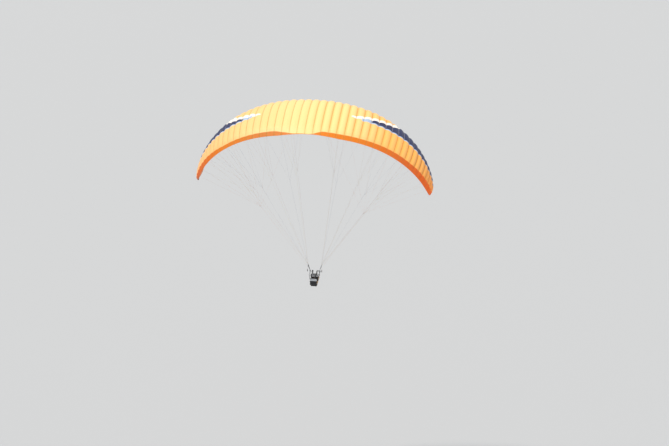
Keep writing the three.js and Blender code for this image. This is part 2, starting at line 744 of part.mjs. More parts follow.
function harness(who, hole, withReserve) {
  const hang = hangOf(hole);
  addMesh(`${who}_seat_board`, seatBoard(hang), 'board');
  addMesh(`${who}_seat_shell`, seatShell(hang), 'harness');
  addMesh(`${who}_chest_strap`, chestStrap(hang), 'webbing');
  if (withReserve) {
    addMesh(`${who}_reserve_container`, reserveContainer(hang), 'harness');
  }
}

harness('pilot', PILOT_HOLE, true);
harness('passenger', PASSENGER_HOLE, false);

const SIDES = [{ side: -1, sideName: 'left' }, { side: 1, sideName: 'right' }];
SIDES.forEach(({ side, sideName }) => {
  staysOf(side, sideName);
  addMesh(`riser_set_${sideName}`, riserSet(side), 'webbing');
  const mainTop = mainHang(side).add(vec(0, 0, MAIN_RING.height));
  addMesh(`main_carabiner_${sideName}`, ring(mainTop, MAIN_RING), 'alloy');
  addMesh(`spreader_${sideName}`, spreader(side), 'alloy');
  const pulleyAt = pulleyCentre(side);
  const lineTop = pulleyAt.clone().add(vec(0, 0, PULLEY_RADIUS + STAY_END_GAP));
  addMesh(`brake_main_${sideName}`, stay(lineTop, underCanopy(side, BRAKE_RIB, 1)), 'line');
  addMesh(`brake_pulley_${sideName}`, pulley(side), 'alloy');
  const lowTop = pulleyAt.clone().add(vec(0, 0, -PULLEY_RADIUS - TOUCH));
  const lowEnd = pulleyAt.clone().add(vec(0, 0, -PULLEY_RADIUS - BRAKE_DROP + TOUCH));
  addMesh(`brake_line_${sideName}`, stay(lowTop, lowEnd), 'line');
  addMesh(`brake_handle_${sideName}`, brakeHandle(side), 'handle');
  [['pilot', PILOT_HOLE], ['passenger', PASSENGER_HOLE]].forEach(([who, hole]) => {
    const hang = hangOf(hole);
    const top = vec(side * HANG_HALF_WIDTH, hang.y, hang.z);
    addMesh(`${who}_carabiner_${sideName}`, ring(top, HARNESS_RING), 'alloy');
    addMesh(`${who}_webbing_${sideName}`, webbing(side, hang), 'webbing');
    addMesh(`${who}_leg_strap_${sideName}`, legStrap(side, hang), 'webbing');
  });
});

export default part;
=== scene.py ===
# %% [markdown]
# # A tandem paraglider in flight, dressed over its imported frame
# The frame brings every piece that moves or carries load, at its real size and place. This lesson
# gives each one its cloth, webbing or metal, and adds what only the eye needs: the billowing skin,
# the fine lines, the padded harnesses and the stitching. All lengths are metres, +Y is the flight
# direction, +X the pilot's right, +Z up, and the origin is the middle of the wing's lift.

# %% Load the frame
import math
import bmesh
import bpy
import numpy as np
from mathutils import Matrix, Vector


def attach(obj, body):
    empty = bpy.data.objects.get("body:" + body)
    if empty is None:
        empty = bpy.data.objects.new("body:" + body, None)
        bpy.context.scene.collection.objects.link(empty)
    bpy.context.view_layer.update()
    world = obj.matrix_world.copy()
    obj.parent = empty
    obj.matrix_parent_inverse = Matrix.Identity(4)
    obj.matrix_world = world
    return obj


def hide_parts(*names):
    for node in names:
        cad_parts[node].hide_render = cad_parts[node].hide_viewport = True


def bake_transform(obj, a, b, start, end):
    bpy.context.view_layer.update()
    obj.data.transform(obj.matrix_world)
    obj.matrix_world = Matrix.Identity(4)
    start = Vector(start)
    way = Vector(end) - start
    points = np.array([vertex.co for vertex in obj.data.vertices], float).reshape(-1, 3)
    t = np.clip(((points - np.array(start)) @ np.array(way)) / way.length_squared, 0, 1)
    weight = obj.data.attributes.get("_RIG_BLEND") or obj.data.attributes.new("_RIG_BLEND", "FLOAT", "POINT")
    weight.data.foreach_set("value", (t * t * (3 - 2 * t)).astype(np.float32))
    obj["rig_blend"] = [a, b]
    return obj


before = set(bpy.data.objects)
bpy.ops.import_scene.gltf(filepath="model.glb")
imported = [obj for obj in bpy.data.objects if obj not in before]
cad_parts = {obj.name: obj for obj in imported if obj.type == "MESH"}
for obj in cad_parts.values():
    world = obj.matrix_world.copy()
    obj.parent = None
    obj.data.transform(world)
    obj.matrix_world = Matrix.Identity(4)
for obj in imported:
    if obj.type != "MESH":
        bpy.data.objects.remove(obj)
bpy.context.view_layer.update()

# %% [markdown]
# ## The camera
# The photograph looks down on the wing from behind, from about forty metres away. Such a place can
# be found by hand, by turning the view until the outline fits. Here the place and the turn were
# worked out from the ends of the wing, its two edges and the hang point, so they are plain numbers.

# %% Camera
CAMERA_PLACE = Vector((5.8588, -41.1725, 17.3052))
CAMERA_YAW, CAMERA_DOWN, CAMERA_ROLL = -0.1175, 0.5109, 0.0111
FOCAL_PIXELS, PHOTO_PIXELS, SENSOR_WIDTH = 947.7, 669, 36

camera = bpy.data.objects.new("camera", bpy.data.cameras.new("camera"))
bpy.context.scene.collection.objects.link(camera)
ahead = Vector((
    math.sin(CAMERA_YAW) * math.cos(CAMERA_DOWN),
    math.cos(CAMERA_YAW) * math.cos(CAMERA_DOWN),
    -math.sin(CAMERA_DOWN),
))
level = Vector((math.cos(CAMERA_YAW), -math.sin(CAMERA_YAW), 0))
over = level.cross(ahead)
right = level * math.cos(CAMERA_ROLL) + over * math.sin(CAMERA_ROLL)
over = -level * math.sin(CAMERA_ROLL) + over * math.cos(CAMERA_ROLL)
turn = Matrix((right, over, -ahead)).transposed()
camera.matrix_world = Matrix.Translation(CAMERA_PLACE) @ turn.to_4x4()
camera.data.lens = FOCAL_PIXELS / PHOTO_PIXELS * SENSOR_WIDTH
camera.data.sensor_width = SENSOR_WIDTH
camera.data.clip_end = 3000
bpy.context.scene.camera = camera
print("camera:", round(camera.data.lens, 1), "mm,", round(CAMERA_PLACE.length, 1), "m from the wing")

# %% [markdown]
# ## Helpers
# A colour picked from a photograph is sRGB, and the shader wants it linear, so one function turns
# a hex value into what the shader needs. Another adds a node, with its settings and what feeds it.
# The short ones after it add what nearly every material needs: sums, soft ramps, one colour laid
# over another, noise, bumps and the surface itself.


# %% Colour and node helpers
def paint(hex_colour):
    """A hex sRGB colour as linear RGBA."""
    parts = [int(hex_colour[i:i + 2], 16) / 255 for i in (1, 3, 5)]
    linear = [p / 12.92 if p <= 0.04045 else ((p + 0.055) / 1.055) ** 2.4 for p in parts]
    return (*linear, 1)


def put(tree, kind, feeds=None, **settings):
    """Adds one node; feeds gives each input socket a value or another node's output."""
    node = tree.nodes.new(kind)
    for name, value in settings.items():
        setattr(node, name, value)
    for socket, value in (feeds or {}).items():
        if isinstance(value, bpy.types.NodeSocket):
            tree.links.new(value, node.inputs[socket])
        else:
            node.inputs[socket].default_value = value
    return node


def sums(tree, kind, *values):
    """One kind of sum over its values, from left to right; some kinds take a single value."""
    result = values[0]
    for value in values[1:] or (0,):
        result = put(tree, "ShaderNodeMath", {0: result, 1: value}, operation=kind).outputs[0]
    return result


def times(tree, *values):
    """The product of its values."""
    return sums(tree, "MULTIPLY", *values)


def between(tree, value, low, high, run="SMOOTHSTEP"):
    """Rises from 0 at low to 1 at high, and falls where low is the larger."""
    feeds = {"Value": value, "From Min": low, "From Max": high}
    return put(tree, "ShaderNodeMapRange", feeds, interpolation_type=run).outputs["Result"]


def ranged(tree, value, low, high):
    """Turns a value from 0 to 1 into one from low to high."""
    feeds = {"Value": value, "To Min": low, "To Max": high}
    return put(tree, "ShaderNodeMapRange", feeds).outputs["Result"]


def cover(tree, below, above, amount):
    """A colour laid over another by an amount from 0 to 1."""
    return put(tree, "ShaderNodeMix", {0: amount, 6: below, 7: above}, data_type="RGBA").outputs[2]


def noise(tree, place, scale, detail, distortion=0.0):
    """Soft clouds from 0 to 1; scale is their number in a metre."""
    feeds = {"Vector": place, "Scale": scale, "Detail": detail, "Distortion": distortion}
    return put(tree, "ShaderNodeTexNoise", feeds).outputs["Fac"]


def bumped(tree, height, strength, distance=1.0):
    """The normal of a surface that is raised by a height in metres."""
    feeds = {"Height": height, "Strength": strength, "Distance": distance}
    return put(tree, "ShaderNodeBump", feeds).outputs["Normal"]


def in_object(tree, kind="Object"):
    """The place of a point in its object, or its normal."""
    return put(tree, "ShaderNodeTexCoord").outputs[kind]


def axes_of(tree, vector):
    """The X, Y and Z of a vector."""
    return put(tree, "ShaderNodeSeparateXYZ", {"Vector": vector}).outputs


def read(tree, name):
    """The value of one of the numbers kept on a piece's points."""
    return put(tree, "ShaderNodeAttribute", attribute_name=name).outputs["Fac"]


def surfaced(tree, out, feeds):
    """Adds the surface shader with these inputs and joins it to the output."""
    shader = put(tree, "ShaderNodeBsdfPrincipled", feeds)
    tree.links.new(shader.outputs[0], out.inputs["Surface"])
    return shader


def blank_material(name):
    """A new material with only its output node."""
    material = bpy.data.materials.new(name)
    material.use_nodes = True
    tree = material.node_tree
    tree.nodes.clear()
    return material, tree, tree.nodes.new("ShaderNodeOutputMaterial")


def dress(obj, *materials):
    """Gives an object these materials and nothing else."""
    obj.data.materials.clear()
    for material in materials:
        obj.data.materials.append(material)


print("colour check:", [round(v, 3) for v in paint("#ff8800")])

# %% [markdown]
# ## Helpers for objects
# Edit tools act on all that is selected, so each piece starts from nothing and is then chosen
# alone. The other three read the places of all points at once, keep a number on every point for
# the materials, and copy a finished piece with a mesh of its own.


# %% Object helpers
def unselect():
    """Object mode, with nothing selected."""
    if bpy.context.object and bpy.context.object.mode != "OBJECT":
        bpy.ops.object.mode_set(mode="OBJECT")
    bpy.ops.object.select_all(action="DESELECT")


def choose(piece):
    """Selects one piece alone and makes it the active one."""
    unselect()
    piece.select_set(True)
    bpy.context.view_layer.objects.active = piece


def table(points, what="co"):
    """The place of every point, or its normal, as rows of three numbers."""
    numbers = np.empty(len(points) * 3)
    points.foreach_get(what, numbers)
    return numbers.reshape(-1, 3)


def keep(piece, name, values):
    """Keeps one number on every point of a piece."""
    kept = piece.data.attributes.new(name, "FLOAT", "POINT")
    kept.data.foreach_set("value", np.ascontiguousarray(values, dtype=np.float32))


def copy_of(source, name, move):
    """A copy with its own mesh, moved by a matrix."""
    copy = source.copy()
    copy.data = source.data.copy()
    copy.name = name
    bpy.context.scene.collection.objects.link(copy)
    copy.data.transform(move)
    return copy


# %% [markdown]
# ## The wing's shape in numbers
# A paraglider's wing is a row of cloth cells between ribs. Seen flat it is an ellipse with blunt
# ends, from the front it is an arc, and each rib is an aerofoil. The frame was drawn from these
# same numbers, so the skin made here lies exactly on it.

# %% Wing dimensions
FLAT_SPAN = 14.4
CENTRE_CHORD = 3.0
TIP_CHORD_RATIO = 0.205
PLANFORM_POWER = 1.52
TIP_SWEEP = 0.265
TIP_ANGLE = 1.31
ARC_POWER = 1.37
LIFT_POINT = 0.30
INCIDENCE = math.radians(6.5)
CELLS = 45
CENTRE_CELL_GAIN = 0.13
CLOSED_TIP_CELLS = 3
BILLOW = 0.155
THICKNESS = 0.165
CAMBER = 0.025
UPPER_SHARE, LOWER_SHARE = 1.2, 0.8
BRAKED_FROM = 0.88
BRAKED_ANGLE = math.radians(17)
BRAKED_SPAN_START, BRAKED_SPAN_FULL = 0.04, 0.20
HANG_DEPTH = 8.9
HANG_HALF_WIDTH = 0.25
SIDES = ((-1, "left"), (1, "right"))


# %% Wing functions
def arc_at(u):
    """Place and tilt of the wing's middle line seen from the front, u from -1 to 1."""
    steps = 400
    angle = TIP_ANGLE * ((np.arange(steps) + 0.5) / steps) ** ARC_POWER
    x = np.concatenate([[0], np.cumsum(np.cos(angle))]) * FLAT_SPAN / 2 / steps
    z = np.concatenate([[0], -np.cumsum(np.sin(angle))]) * FLAT_SPAN / 2 / steps
    at = np.abs(u)
    grid = np.linspace(0, 1, steps + 1)
    sign = np.where(u < 0, -1, 1)
    return sign * np.interp(at, grid, x), np.interp(at, grid, z), sign * TIP_ANGLE * at ** ARC_POWER


def chord_at(u):
    """Length of the rib at u."""
    round_part = np.sqrt(np.clip(1 - np.abs(u) ** PLANFORM_POWER, 0, 1))
    return CENTRE_CHORD * (TIP_CHORD_RATIO + (1 - TIP_CHORD_RATIO) * round_part)


def rib_span(rib):
    """Span place of a rib: the middle cells are wider than the outer ones."""
    q = 2 * np.asarray(rib, float) / CELLS - 1
    return q * (1 + CENTRE_CELL_GAIN * (1 - q * q))


def profile_height(xi, u, face):
    """Height of the skin over the chord line as a share of the chord; face is 1 above, -1 below."""
    poly = (
        0.2969 * np.sqrt(xi) - 0.126 * xi - 0.3516 * xi ** 2 + 0.2843 * xi ** 3 - 0.103 * xi ** 4
    )
    mean = CAMBER * 4 * xi * (1 - xi)
    pull = np.clip((np.abs(u) - BRAKED_SPAN_START) / (BRAKED_SPAN_FULL - BRAKED_SPAN_START), 0, 1)
    mean = mean - math.tan(BRAKED_ANGLE) * pull * np.clip(xi - BRAKED_FROM, 0, 1)
    return mean + np.where(face > 0, UPPER_SHARE, -LOWER_SHARE) * 5 * THICKNESS * poly


def skin_point(u, xi, face, proud=0.0):
    """Points of the skin in the row frame, proud metres outside the bare aerofoil."""
    u, xi, face, proud = np.broadcast_arrays(*(np.asarray(v, float) for v in (u, xi, face, proud)))
    step = np.minimum(0.01, xi / 2)
    before, after = np.clip(xi - step, 0, 1), np.clip(xi + step, 0, 1)
    rise = profile_height(after, u, face) - profile_height(before, u, face)
    run = after - before
    length = np.hypot(rise, run)
    nose = length < 1e-9
    length = np.where(nose, 1, length)
    back = np.where(nose, -1, -rise * face / length)
    up = np.where(nose, 0, run * face / length)
    x, z, angle = arc_at(u)
    chord = chord_at(u)
    height = chord * profile_height(xi, u, face) + proud * up
    leading = (LIFT_POINT - 0.5) * CENTRE_CHORD - TIP_SWEEP * u * u + chord / 2
    y = leading - chord * xi - proud * back
    x = x + height * np.sin(angle)
    z = z + height * np.cos(angle)
    c, s = math.cos(INCIDENCE), math.sin(INCIDENCE)
    return np.stack([x, y * c - z * s, y * s + z * c], -1)


tip = skin_point(1.0, 0.5, 1)
print("projected span:", round(2 * float(tip[0]), 2), "m, tip drop:", round(-float(tip[2]), 2), "m")

# %% [markdown]
# ## The skin
# On the real wing the cloth bulges between the ribs because the air inside pushes it out. It could
# be inflated with a cloth simulation, but forty-five cells would take too long and the bulge is
# known: a shallow arch from rib to rib that dies out towards the trailing edge. So a plain grid is
# added with a fixed number of steps in each cell, its points are moved onto the skin by the
# functions above, and the edges are sewn by merging.

# %% Skin grid
CELL_STEPS = np.array([0, 0.05, 0.14, 0.26, 0.38, 0.5, 0.62, 0.74, 0.86, 0.95])
INTAKE_SIDE, INTAKE_FROM, INTAKE_TO, INTAKE_DEPTH = 0.14, 0.008, 0.05, 0.11

upper_steps = np.unique(np.append(np.linspace(0, 1, 43) ** 1.6, [BRAKED_FROM]))
lower_nose = np.array([0, 0.003, INTAKE_FROM, 0.016, 0.026, 0.038, INTAKE_TO])
lower_rest = INTAKE_TO + (1 - INTAKE_TO) * np.linspace(0, 1, 33)[1:] ** 1.1
lower_steps = np.unique(np.concatenate([lower_nose, lower_rest, [BRAKED_FROM]]))
profile_run = np.concatenate([upper_steps[::-1], -lower_steps[1:], [1]])
rib_run = np.append((np.arange(CELLS)[:, None] + CELL_STEPS).ravel(), CELLS)

unselect()
bpy.ops.mesh.primitive_grid_add(
    x_subdivisions=len(rib_run) - 1, y_subdivisions=len(profile_run) - 1, size=1,
)
skin = bpy.context.object
skin.name = "canopy_skin"
flat = table(skin.data.vertices)
column = np.rint((flat[:, 0] + 0.5) * (len(rib_run) - 1)).astype(int)
row = np.rint((flat[:, 1] + 0.5) * (len(profile_run) - 1)).astype(int)
print("grid:", len(rib_run), "by", len(profile_run), "points,", len(skin.data.polygons), "faces")

# %% [markdown]
# ## Billow, and what the material needs to know
# Each point also keeps three numbers for the material: how far along the span it is, which cell it
# is in, and its place on the chord, positive above and negative below. A real skin is never quite
# even, so each cell is given a bulge of its own, a few per cent fuller or slacker.

# %% Skin shape
ARCH_POWER = 2.0
cell_fill = 1 + 0.05 * np.sin(np.arange(CELLS) * 2.4) + 0.03 * np.sin(np.arange(CELLS) * 5.3)

rib_count, chord_place = rib_run[column], profile_run[row]
cell_index = np.minimum(rib_count.astype(int), CELLS - 1)
in_cell = rib_count - cell_index
from_rib, to_rib = rib_span(cell_index), rib_span(cell_index + 1)
span_place = from_rib + in_cell * (to_rib - from_rib)
cell_width = (to_rib - from_rib) * FLAT_SPAN / 2
arch = 1 - np.abs(2 * in_cell - 1) ** ARCH_POWER
sag = BILLOW * cell_fill[cell_index] * cell_width * arch
sag = sag * np.clip((1 - np.abs(chord_place)) / 0.2, 0, 1)
face = np.where(chord_place < 0, -1, 1)
points = skin_point(span_place, np.abs(chord_place), face, sag)
skin.data.vertices.foreach_set("co", points.ravel())
for name, values in (("span", span_place), ("cell", rib_count), ("chord", chord_place)):
    keep(skin, name, values)
skin.data.update()

bpy.ops.object.mode_set(mode="EDIT")
bpy.ops.mesh.select_all(action="SELECT")
bpy.ops.mesh.remove_doubles(threshold=0.00005)
bpy.ops.mesh.fill_holes(sides=0)
bpy.ops.mesh.normals_make_consistent(inside=False)
bpy.ops.object.mode_set(mode="OBJECT")
print("skin:", len(skin.data.vertices), "points, width", [round(v, 2) for v in skin.dimensions])

# %% [markdown]
# ## Air intakes
# Every cell but the outer three has a mouth just under the leading edge, where the air comes in.
# The faces of each mouth are selected by their place in the cell and on the chord, extruded, and
# the new ends are moved inwards. The walls are the cut ends of the ribs, so they stay cloth.


# %% Intake mouths
def shaping(obj):
    """Edit mode on one object, with nothing selected in it."""
    choose(obj)
    bpy.ops.object.mode_set(mode="EDIT")
    bpy.ops.mesh.select_all(action="DESELECT")
    return bmesh.from_edit_mesh(obj.data)


def pick_faces(mesh, test):
    """Selects the faces that pass a test and nothing else."""
    for f in mesh.faces:
        f.select_set(False)
    chosen = [f for f in mesh.faces if test(f)]
    for f in chosen:
        f.select_set(True)
    return chosen


def pick_points(mesh, test):
    """Selects the points that pass a test, and what lies between them."""
    for v in mesh.verts:
        v.select_set(test(v))
    mesh.select_flush(True)


def cut(place, direction, **more):
    """Cuts the whole mesh with a plane and leaves the new points selected."""
    bpy.ops.mesh.select_all(action="SELECT")
    bpy.ops.mesh.bisect(plane_co=place, plane_no=direction, **more)


def in_mouth(f):
    """Whether a face of the skin lies in the mouth of an open cell."""
    if len(f.verts) > 4:
        return False
    cell = sum(v[layer["cell"]] for v in f.verts) / len(f.verts)
    chord = sum(v[layer["chord"]] for v in f.verts) / len(f.verts)
    if not CLOSED_TIP_CELLS <= cell < CELLS - CLOSED_TIP_CELLS:
        return False
    return INTAKE_SIDE < cell % 1 < 1 - INTAKE_SIDE and -INTAKE_TO < chord < -INTAKE_FROM


mesh = shaping(skin)
layer = {name: mesh.verts.layers.float[name] for name in ("span", "cell", "chord")}
mouth_faces = len(pick_faces(mesh, in_mouth))
bpy.ops.mesh.extrude_region_move()
mesh = bmesh.from_edit_mesh(skin.data)
layer = {name: mesh.verts.layers.float[name] for name in ("span", "cell", "chord")}
floor_points = [v for v in mesh.verts if v.select]
places = skin_point(
    [v[layer["span"]] for v in floor_points],
    [abs(v[layer["chord"]]) for v in floor_points],
    -1, -INTAKE_DEPTH,
)
for v, place in zip(floor_points, places):
    v.co = place
    for f in v.link_faces:
        f.material_index = 1
bmesh.update_edit_mesh(skin.data)
bpy.ops.object.mode_set(mode="OBJECT")
bpy.ops.object.shade_smooth_by_angle(angle=math.radians(50))
print("intakes:", mouth_faces, "faces of the mouths,", len(floor_points), "points moved in")

# %% [markdown]
# ## The tip closures
# The outermost ribs are covered with the same cloth. The flat end face is inset and moved outwards
# a little, so that the tip is a soft pillow instead of a cut.

# %% Tip pillows
# how far each ring is inset, and then moved outwards
TIP_RINGS = ((0.012, 0.012), (0.014, 0.005))

for side in (-1, 1):
    mesh = shaping(skin)
    ends = pick_faces(mesh, lambda f: len(f.verts) > 4 and f.calc_center_median().x * side > 0)
    outward = ends[0].normal.copy()
    for inset, moved in TIP_RINGS:
        bpy.ops.mesh.inset(thickness=inset, depth=0)
        bpy.ops.transform.translate(value=outward * moved)
    bpy.ops.object.mode_set(mode="OBJECT")
print("tips: outermost point", round(max(v.co.x for v in skin.data.vertices), 3), "m")

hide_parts(*(f"canopy_section_{n}" for n in range(1, 10)))
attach(skin, "wing")

# %% [markdown]
# ## Canopy cloth
# The skin is ripstop nylon, woven from very fine thread, with a thicker thread every few
# millimetres that stops a tear, and coated so that no air leaks through. The coating gives a low,
# broad shine in the sun, and light also comes through the cloth. The colours of the stripe are
# separate panels sewn together: the stripe lies across the front of each half and widens towards
# the tip. It could be cut as geometry, but a sewn stripe has no thickness to speak of, so the three
# numbers kept on the points decide the colour. They also place painted shade: a deeper orange band
# along the braked trailing edge.


# %% Panel lines
def stripe_edge(tree, across, places):
    """A line over the span: places are (span place, chord place) pairs joined by straight runs."""
    curve = put(tree, "ShaderNodeFloatCurve", {"Value": across})
    line = curve.mapping.curves[0]
    line.points[0].location = (0, places[0][1])
    line.points[1].location = (1, places[-1][1])
    for place, height in places[1:-1]:
        line.points.new((place + 1) / 2, height)
    for point in line.points:
        point.handle_type = "VECTOR"
    curve.mapping.update()
    return curve.outputs[0]


# span place and chord place of each line that bounds a panel or the band of painted shade on the
# braked trailing edge, from the left tip to the right
WHITE_FRONT = [
    (-1, 0), (-0.61, 0), (-0.57, 0.12), (-0.49, 0.32), (-0.39, 0.40), (-0.335, 0.47),
    (0.245, 0.475), (0.37, 0.345), (0.48, 0.235), (0.53, 0.12), (0.56, 0), (1, 0),
]
NAVY_FRONT = [
    (-1, 0), (-0.66, 0), (-0.60, 0.23), (-0.54, 0.36), (-0.44, 0.45), (-0.335, 0.49),
    (0.26, 0.50), (0.37, 0.42), (0.48, 0.32), (0.54, 0.23), (0.59, 0), (1, 0),
]
NAVY_REAR = [
    (-1, 0.38), (-0.85, 0.42), (-0.66, 0.47), (-0.55, 0.48), (-0.335, 0.50),
    (0.26, 0.51), (0.37, 0.485), (0.49, 0.455), (0.61, 0.405), (0.80, 0.37), (1, 0.35),
]
FLAP_SHADE_FRONT = [
    (-1, 0.80), (-0.85, 0.86), (-0.60, 0.93), (-0.22, 0.93), (-0.10, 0.985), (0, 0.995),
    (0.03, 0.985), (0.08, 0.93), (0.35, 0.925), (0.70, 0.89), (0.85, 0.83), (1, 0.78),
]
WHITE_STARTS, PALE_STARTS, NAVY_STARTS = (-0.335, 0.245), (-0.39, 0.31), (-0.455, 0.375)
PALE_EDGE = 0.03
PANEL_BLUR, START_BLUR, FLAP_SHADE_BLUR = 0.004, 0.005, 0.006

cloth, tree, out = blank_material("coated_ripstop_nylon")
span, cell, chord = (read(tree, name) for name in ("span", "cell", "chord"))
across = between(tree, span, -1, 1, "LINEAR")
above = between(tree, chord, -PANEL_BLUR, PANEL_BLUR)
white_front, navy_front, navy_rear, flap_shade_front = (
    stripe_edge(tree, across, places) for places in (WHITE_FRONT, NAVY_FRONT, NAVY_REAR, FLAP_SHADE_FRONT)
)


def band(low, high, starts):
    """1 where the chord place is between two lines, outside the two span places in starts."""
    after = between(tree, sums(tree, "SUBTRACT", chord, low), -PANEL_BLUR, PANEL_BLUR)
    before = between(tree, sums(tree, "SUBTRACT", chord, high), PANEL_BLUR, -PANEL_BLUR)
    on_left = between(tree, span, starts[0] + START_BLUR, starts[0] - START_BLUR)
    on_right = between(tree, span, starts[1] - START_BLUR, starts[1] + START_BLUR)
    return times(tree, after, before, sums(tree, "ADD", on_left, on_right), above)


white = band(white_front, navy_rear, WHITE_STARTS)
pale = band(navy_front, sums(tree, "ADD", navy_rear, PALE_EDGE), PALE_STARTS)
navy = band(navy_front, navy_rear, NAVY_STARTS)
# painted shade: the band behind this line stands for the braked trailing edge turned away from the sun
flap_shade = between(tree, sums(tree, "SUBTRACT", chord, flap_shade_front), -FLAP_SHADE_BLUR, FLAP_SHADE_BLUR)
print("panels:", len(tree.nodes), "nodes so far")

# %% [markdown]
# ## Panel colours
# The gold isn't one colour: in the photograph it is pale in the middle and more amber towards the
# tips, so a ramp over the span gives it. The ramp is partly painted light: its pale middle is painted
# sun glare and its amber towards the tips is painted shade. Painted shade beside the seams and along
# the braked trailing edge goes over it first, then the other panels one after the other, and the
# seams last.

# %% Panel colours
# the cloth's gold with painted sun glare in the middle and painted shade towards the tips, a deeper
# orange band of painted shade on the braked trailing edge, and an orange lower side
GOLD_WITH_PAINTED_GLARE_AND_SHADE = [
    (-1, "#F5B876"), (-0.6, "#F5C581"), (-0.1, "#F9DA96"), (0.2, "#F8DC96"), (0.35, "#FAD188"),
    (0.5, "#FEC46E"), (0.65, "#FFBE66"), (0.8, "#FFB85A"), (1, "#FFA046"),
]
FLAP_SHADE = [
    (-1, "#D85C08"), (-0.6, "#D8780C"), (-0.3, "#C87008"), (0.1, "#DE7C0C"), (0.35, "#DC7A0C"),
    (0.5, "#DC700A"), (0.65, "#DC6608"), (0.8, "#F06A04"), (1, "#FF6E04"),
]
CREASE_SHADE = [(-1, "#8E7E44"), (-0.1, "#7F8E4A"), (0.25, "#B08A40"), (1, "#B0602A")]
GROOVE_SHADE_AMBER, LOWER_SIDE, NOSE_TAPE = paint("#EC9A16"), paint("#F58A3C"), paint("#FFEFC4")
WHITE, PALE_BLUE, NAVY, NAVY_FOLD = (
    paint(hex_colour) for hex_colour in ("#F6F4EE", "#A9C3E2", "#27305A", "#B4B6CC")
)
GROOVE_SHADE_COVER, TAPE_COVER, CREASE_SHADE_COVER = 0.40, 0.7, 0.42


def over_span(stops):
    """A colour that changes over the span, from (span place, hex colour) pairs."""
    shade = put(tree, "ShaderNodeValToRGB", {"Fac": across})
    while len(shade.color_ramp.elements) < len(stops):
        shade.color_ramp.elements.new(0.5)
    for stop, (place, hex_colour) in zip(shade.color_ramp.elements, stops):
        stop.position, stop.color = (place + 1) / 2, paint(hex_colour)
    return shade.outputs["Color"]


# painted shade beside each seam: the cloth there is a deeper amber in the photograph, most of all
# on the right half, which leans away from the sun
to_seam = sums(tree, "PINGPONG", cell, 0.5)
beside_seam, right_half = between(tree, to_seam, 0.34, 0.02), between(tree, span, -0.15, 0.2)
groove_shade = times(tree, beside_seam, right_half, GROOVE_SHADE_COVER)
nose_tape = times(tree, between(tree, chord, 0.030, 0.026), above, TAPE_COVER)
colour = cover(tree, over_span(GOLD_WITH_PAINTED_GLARE_AND_SHADE), GROOVE_SHADE_AMBER, groove_shade)
# painted shade: a deeper orange band over the braked trailing edge, none at the unbraked middle
colour = cover(tree, colour, over_span(FLAP_SHADE), flap_shade)
colour = cover(tree, LOWER_SIDE, colour, above)
for shade, amount in ((NOSE_TAPE, nose_tape), (WHITE, white), (PALE_BLUE, pale), (NAVY, navy)):
    colour = cover(tree, colour, shade, amount)

# each rib seam is a taped, double-stitched fold, a little lower than the cloth; its darker line is
# partly the tape and partly painted crease shade, greenish grey on the left half and amber on the right
seam = between(tree, to_seam, 0.055, 0.02)
crease_shade = cover(tree, over_span(CREASE_SHADE), NAVY_FOLD, navy)
colour = cover(tree, colour, crease_shade, times(tree, seam, CREASE_SHADE_COVER))
print("colours:", len(tree.nodes), "nodes so far")

# %% [markdown]
# ## Grid, folds and shine
# Threads and folds are too fine for the mesh, so they are a bump: a height in metres that only
# turns the light. Handling makes the coating a little duller in clouds, and a share of the light is
# passed through the cloth.

# %% Grid, folds and shine
# the real grid is 5 mm; it is drawn at 60 mm, or it would vanish in the picture
GRID_PITCH, GRID_THREAD, GRID_HEIGHT = 0.06, 0.002, 0.0008
FOLD_HEIGHT, SEAM_DEPTH = 0.035, 0.012
FOLDS_ACROSS_CELL, FOLDS_ALONG_CHORD = 1.3, 34.0
LIGHT_THROUGH = 0.16

place = in_object(tree)
grid = put(tree, "ShaderNodeTexBrick", {
    "Vector": place, "Color1": (0, 0, 0, 1), "Color2": (0, 0, 0, 1), "Mortar": (1, 1, 1, 1),
    "Scale": 1.0, "Brick Width": GRID_PITCH, "Row Height": GRID_PITCH,
    "Mortar Size": GRID_THREAD, "Mortar Smooth": 0.5,
}, offset=0.0).outputs["Color"]
# the stitching gathers the cloth into short folds that run away from each seam
fold_place = put(tree, "ShaderNodeCombineXYZ", {
    "X": times(tree, cell, FOLDS_ACROSS_CELL),
    "Y": times(tree, chord, FOLDS_ALONG_CHORD),
}).outputs[0]
gather = times(tree, noise(tree, fold_place, 1, 2), between(tree, to_seam, 0.30, 0.02))
gather = times(tree, gather, FOLD_HEIGHT)
height = sums(tree, "ADD", gather, times(tree, grid, GRID_HEIGHT))
height = sums(tree, "SUBTRACT", height, times(tree, seam, SEAM_DEPTH))
bump = bumped(tree, height, 0.6)
surface = surfaced(tree, out, {
    "Base Color": colour, "Roughness": ranged(tree, noise(tree, place, 3, 4), 0.46, 0.62),
    "Normal": bump, "Specular IOR Level": 0.4, "Sheen Weight": 0.1, "Sheen Roughness": 0.4,
})
through = put(tree, "ShaderNodeBsdfTranslucent", {"Color": colour, "Normal": bump})
shaders = {0: LIGHT_THROUGH, 1: surface.outputs[0], 2: through.outputs[0]}
tree.links.new(put(tree, "ShaderNodeMixShader", shaders).outputs[0], out.inputs["Surface"])
print("canopy cloth:", len(tree.nodes), "nodes")

# %% [markdown]
# ## Inside the intakes
# Through each mouth one sees the cell's inside: the same cloth, lit only through the skin, so it is
# a deep brown orange. A plain dark colour would look like a hole cut in card, so soft folds are
# kept in it.

# %% Intake lining material
lining, tree, out = blank_material("shaded_rib_cloth")
folds = noise(tree, in_object(tree), 9, 3)
surfaced(tree, out, {
    "Base Color": cover(tree, paint("#4A2412"), paint("#7A3F1C"), folds), "Roughness": 0.7,
    "Normal": bumped(tree, folds, 0.4, 0.01),
})
dress(skin, cloth, lining)
print("intake lining:", len(tree.nodes), "nodes")

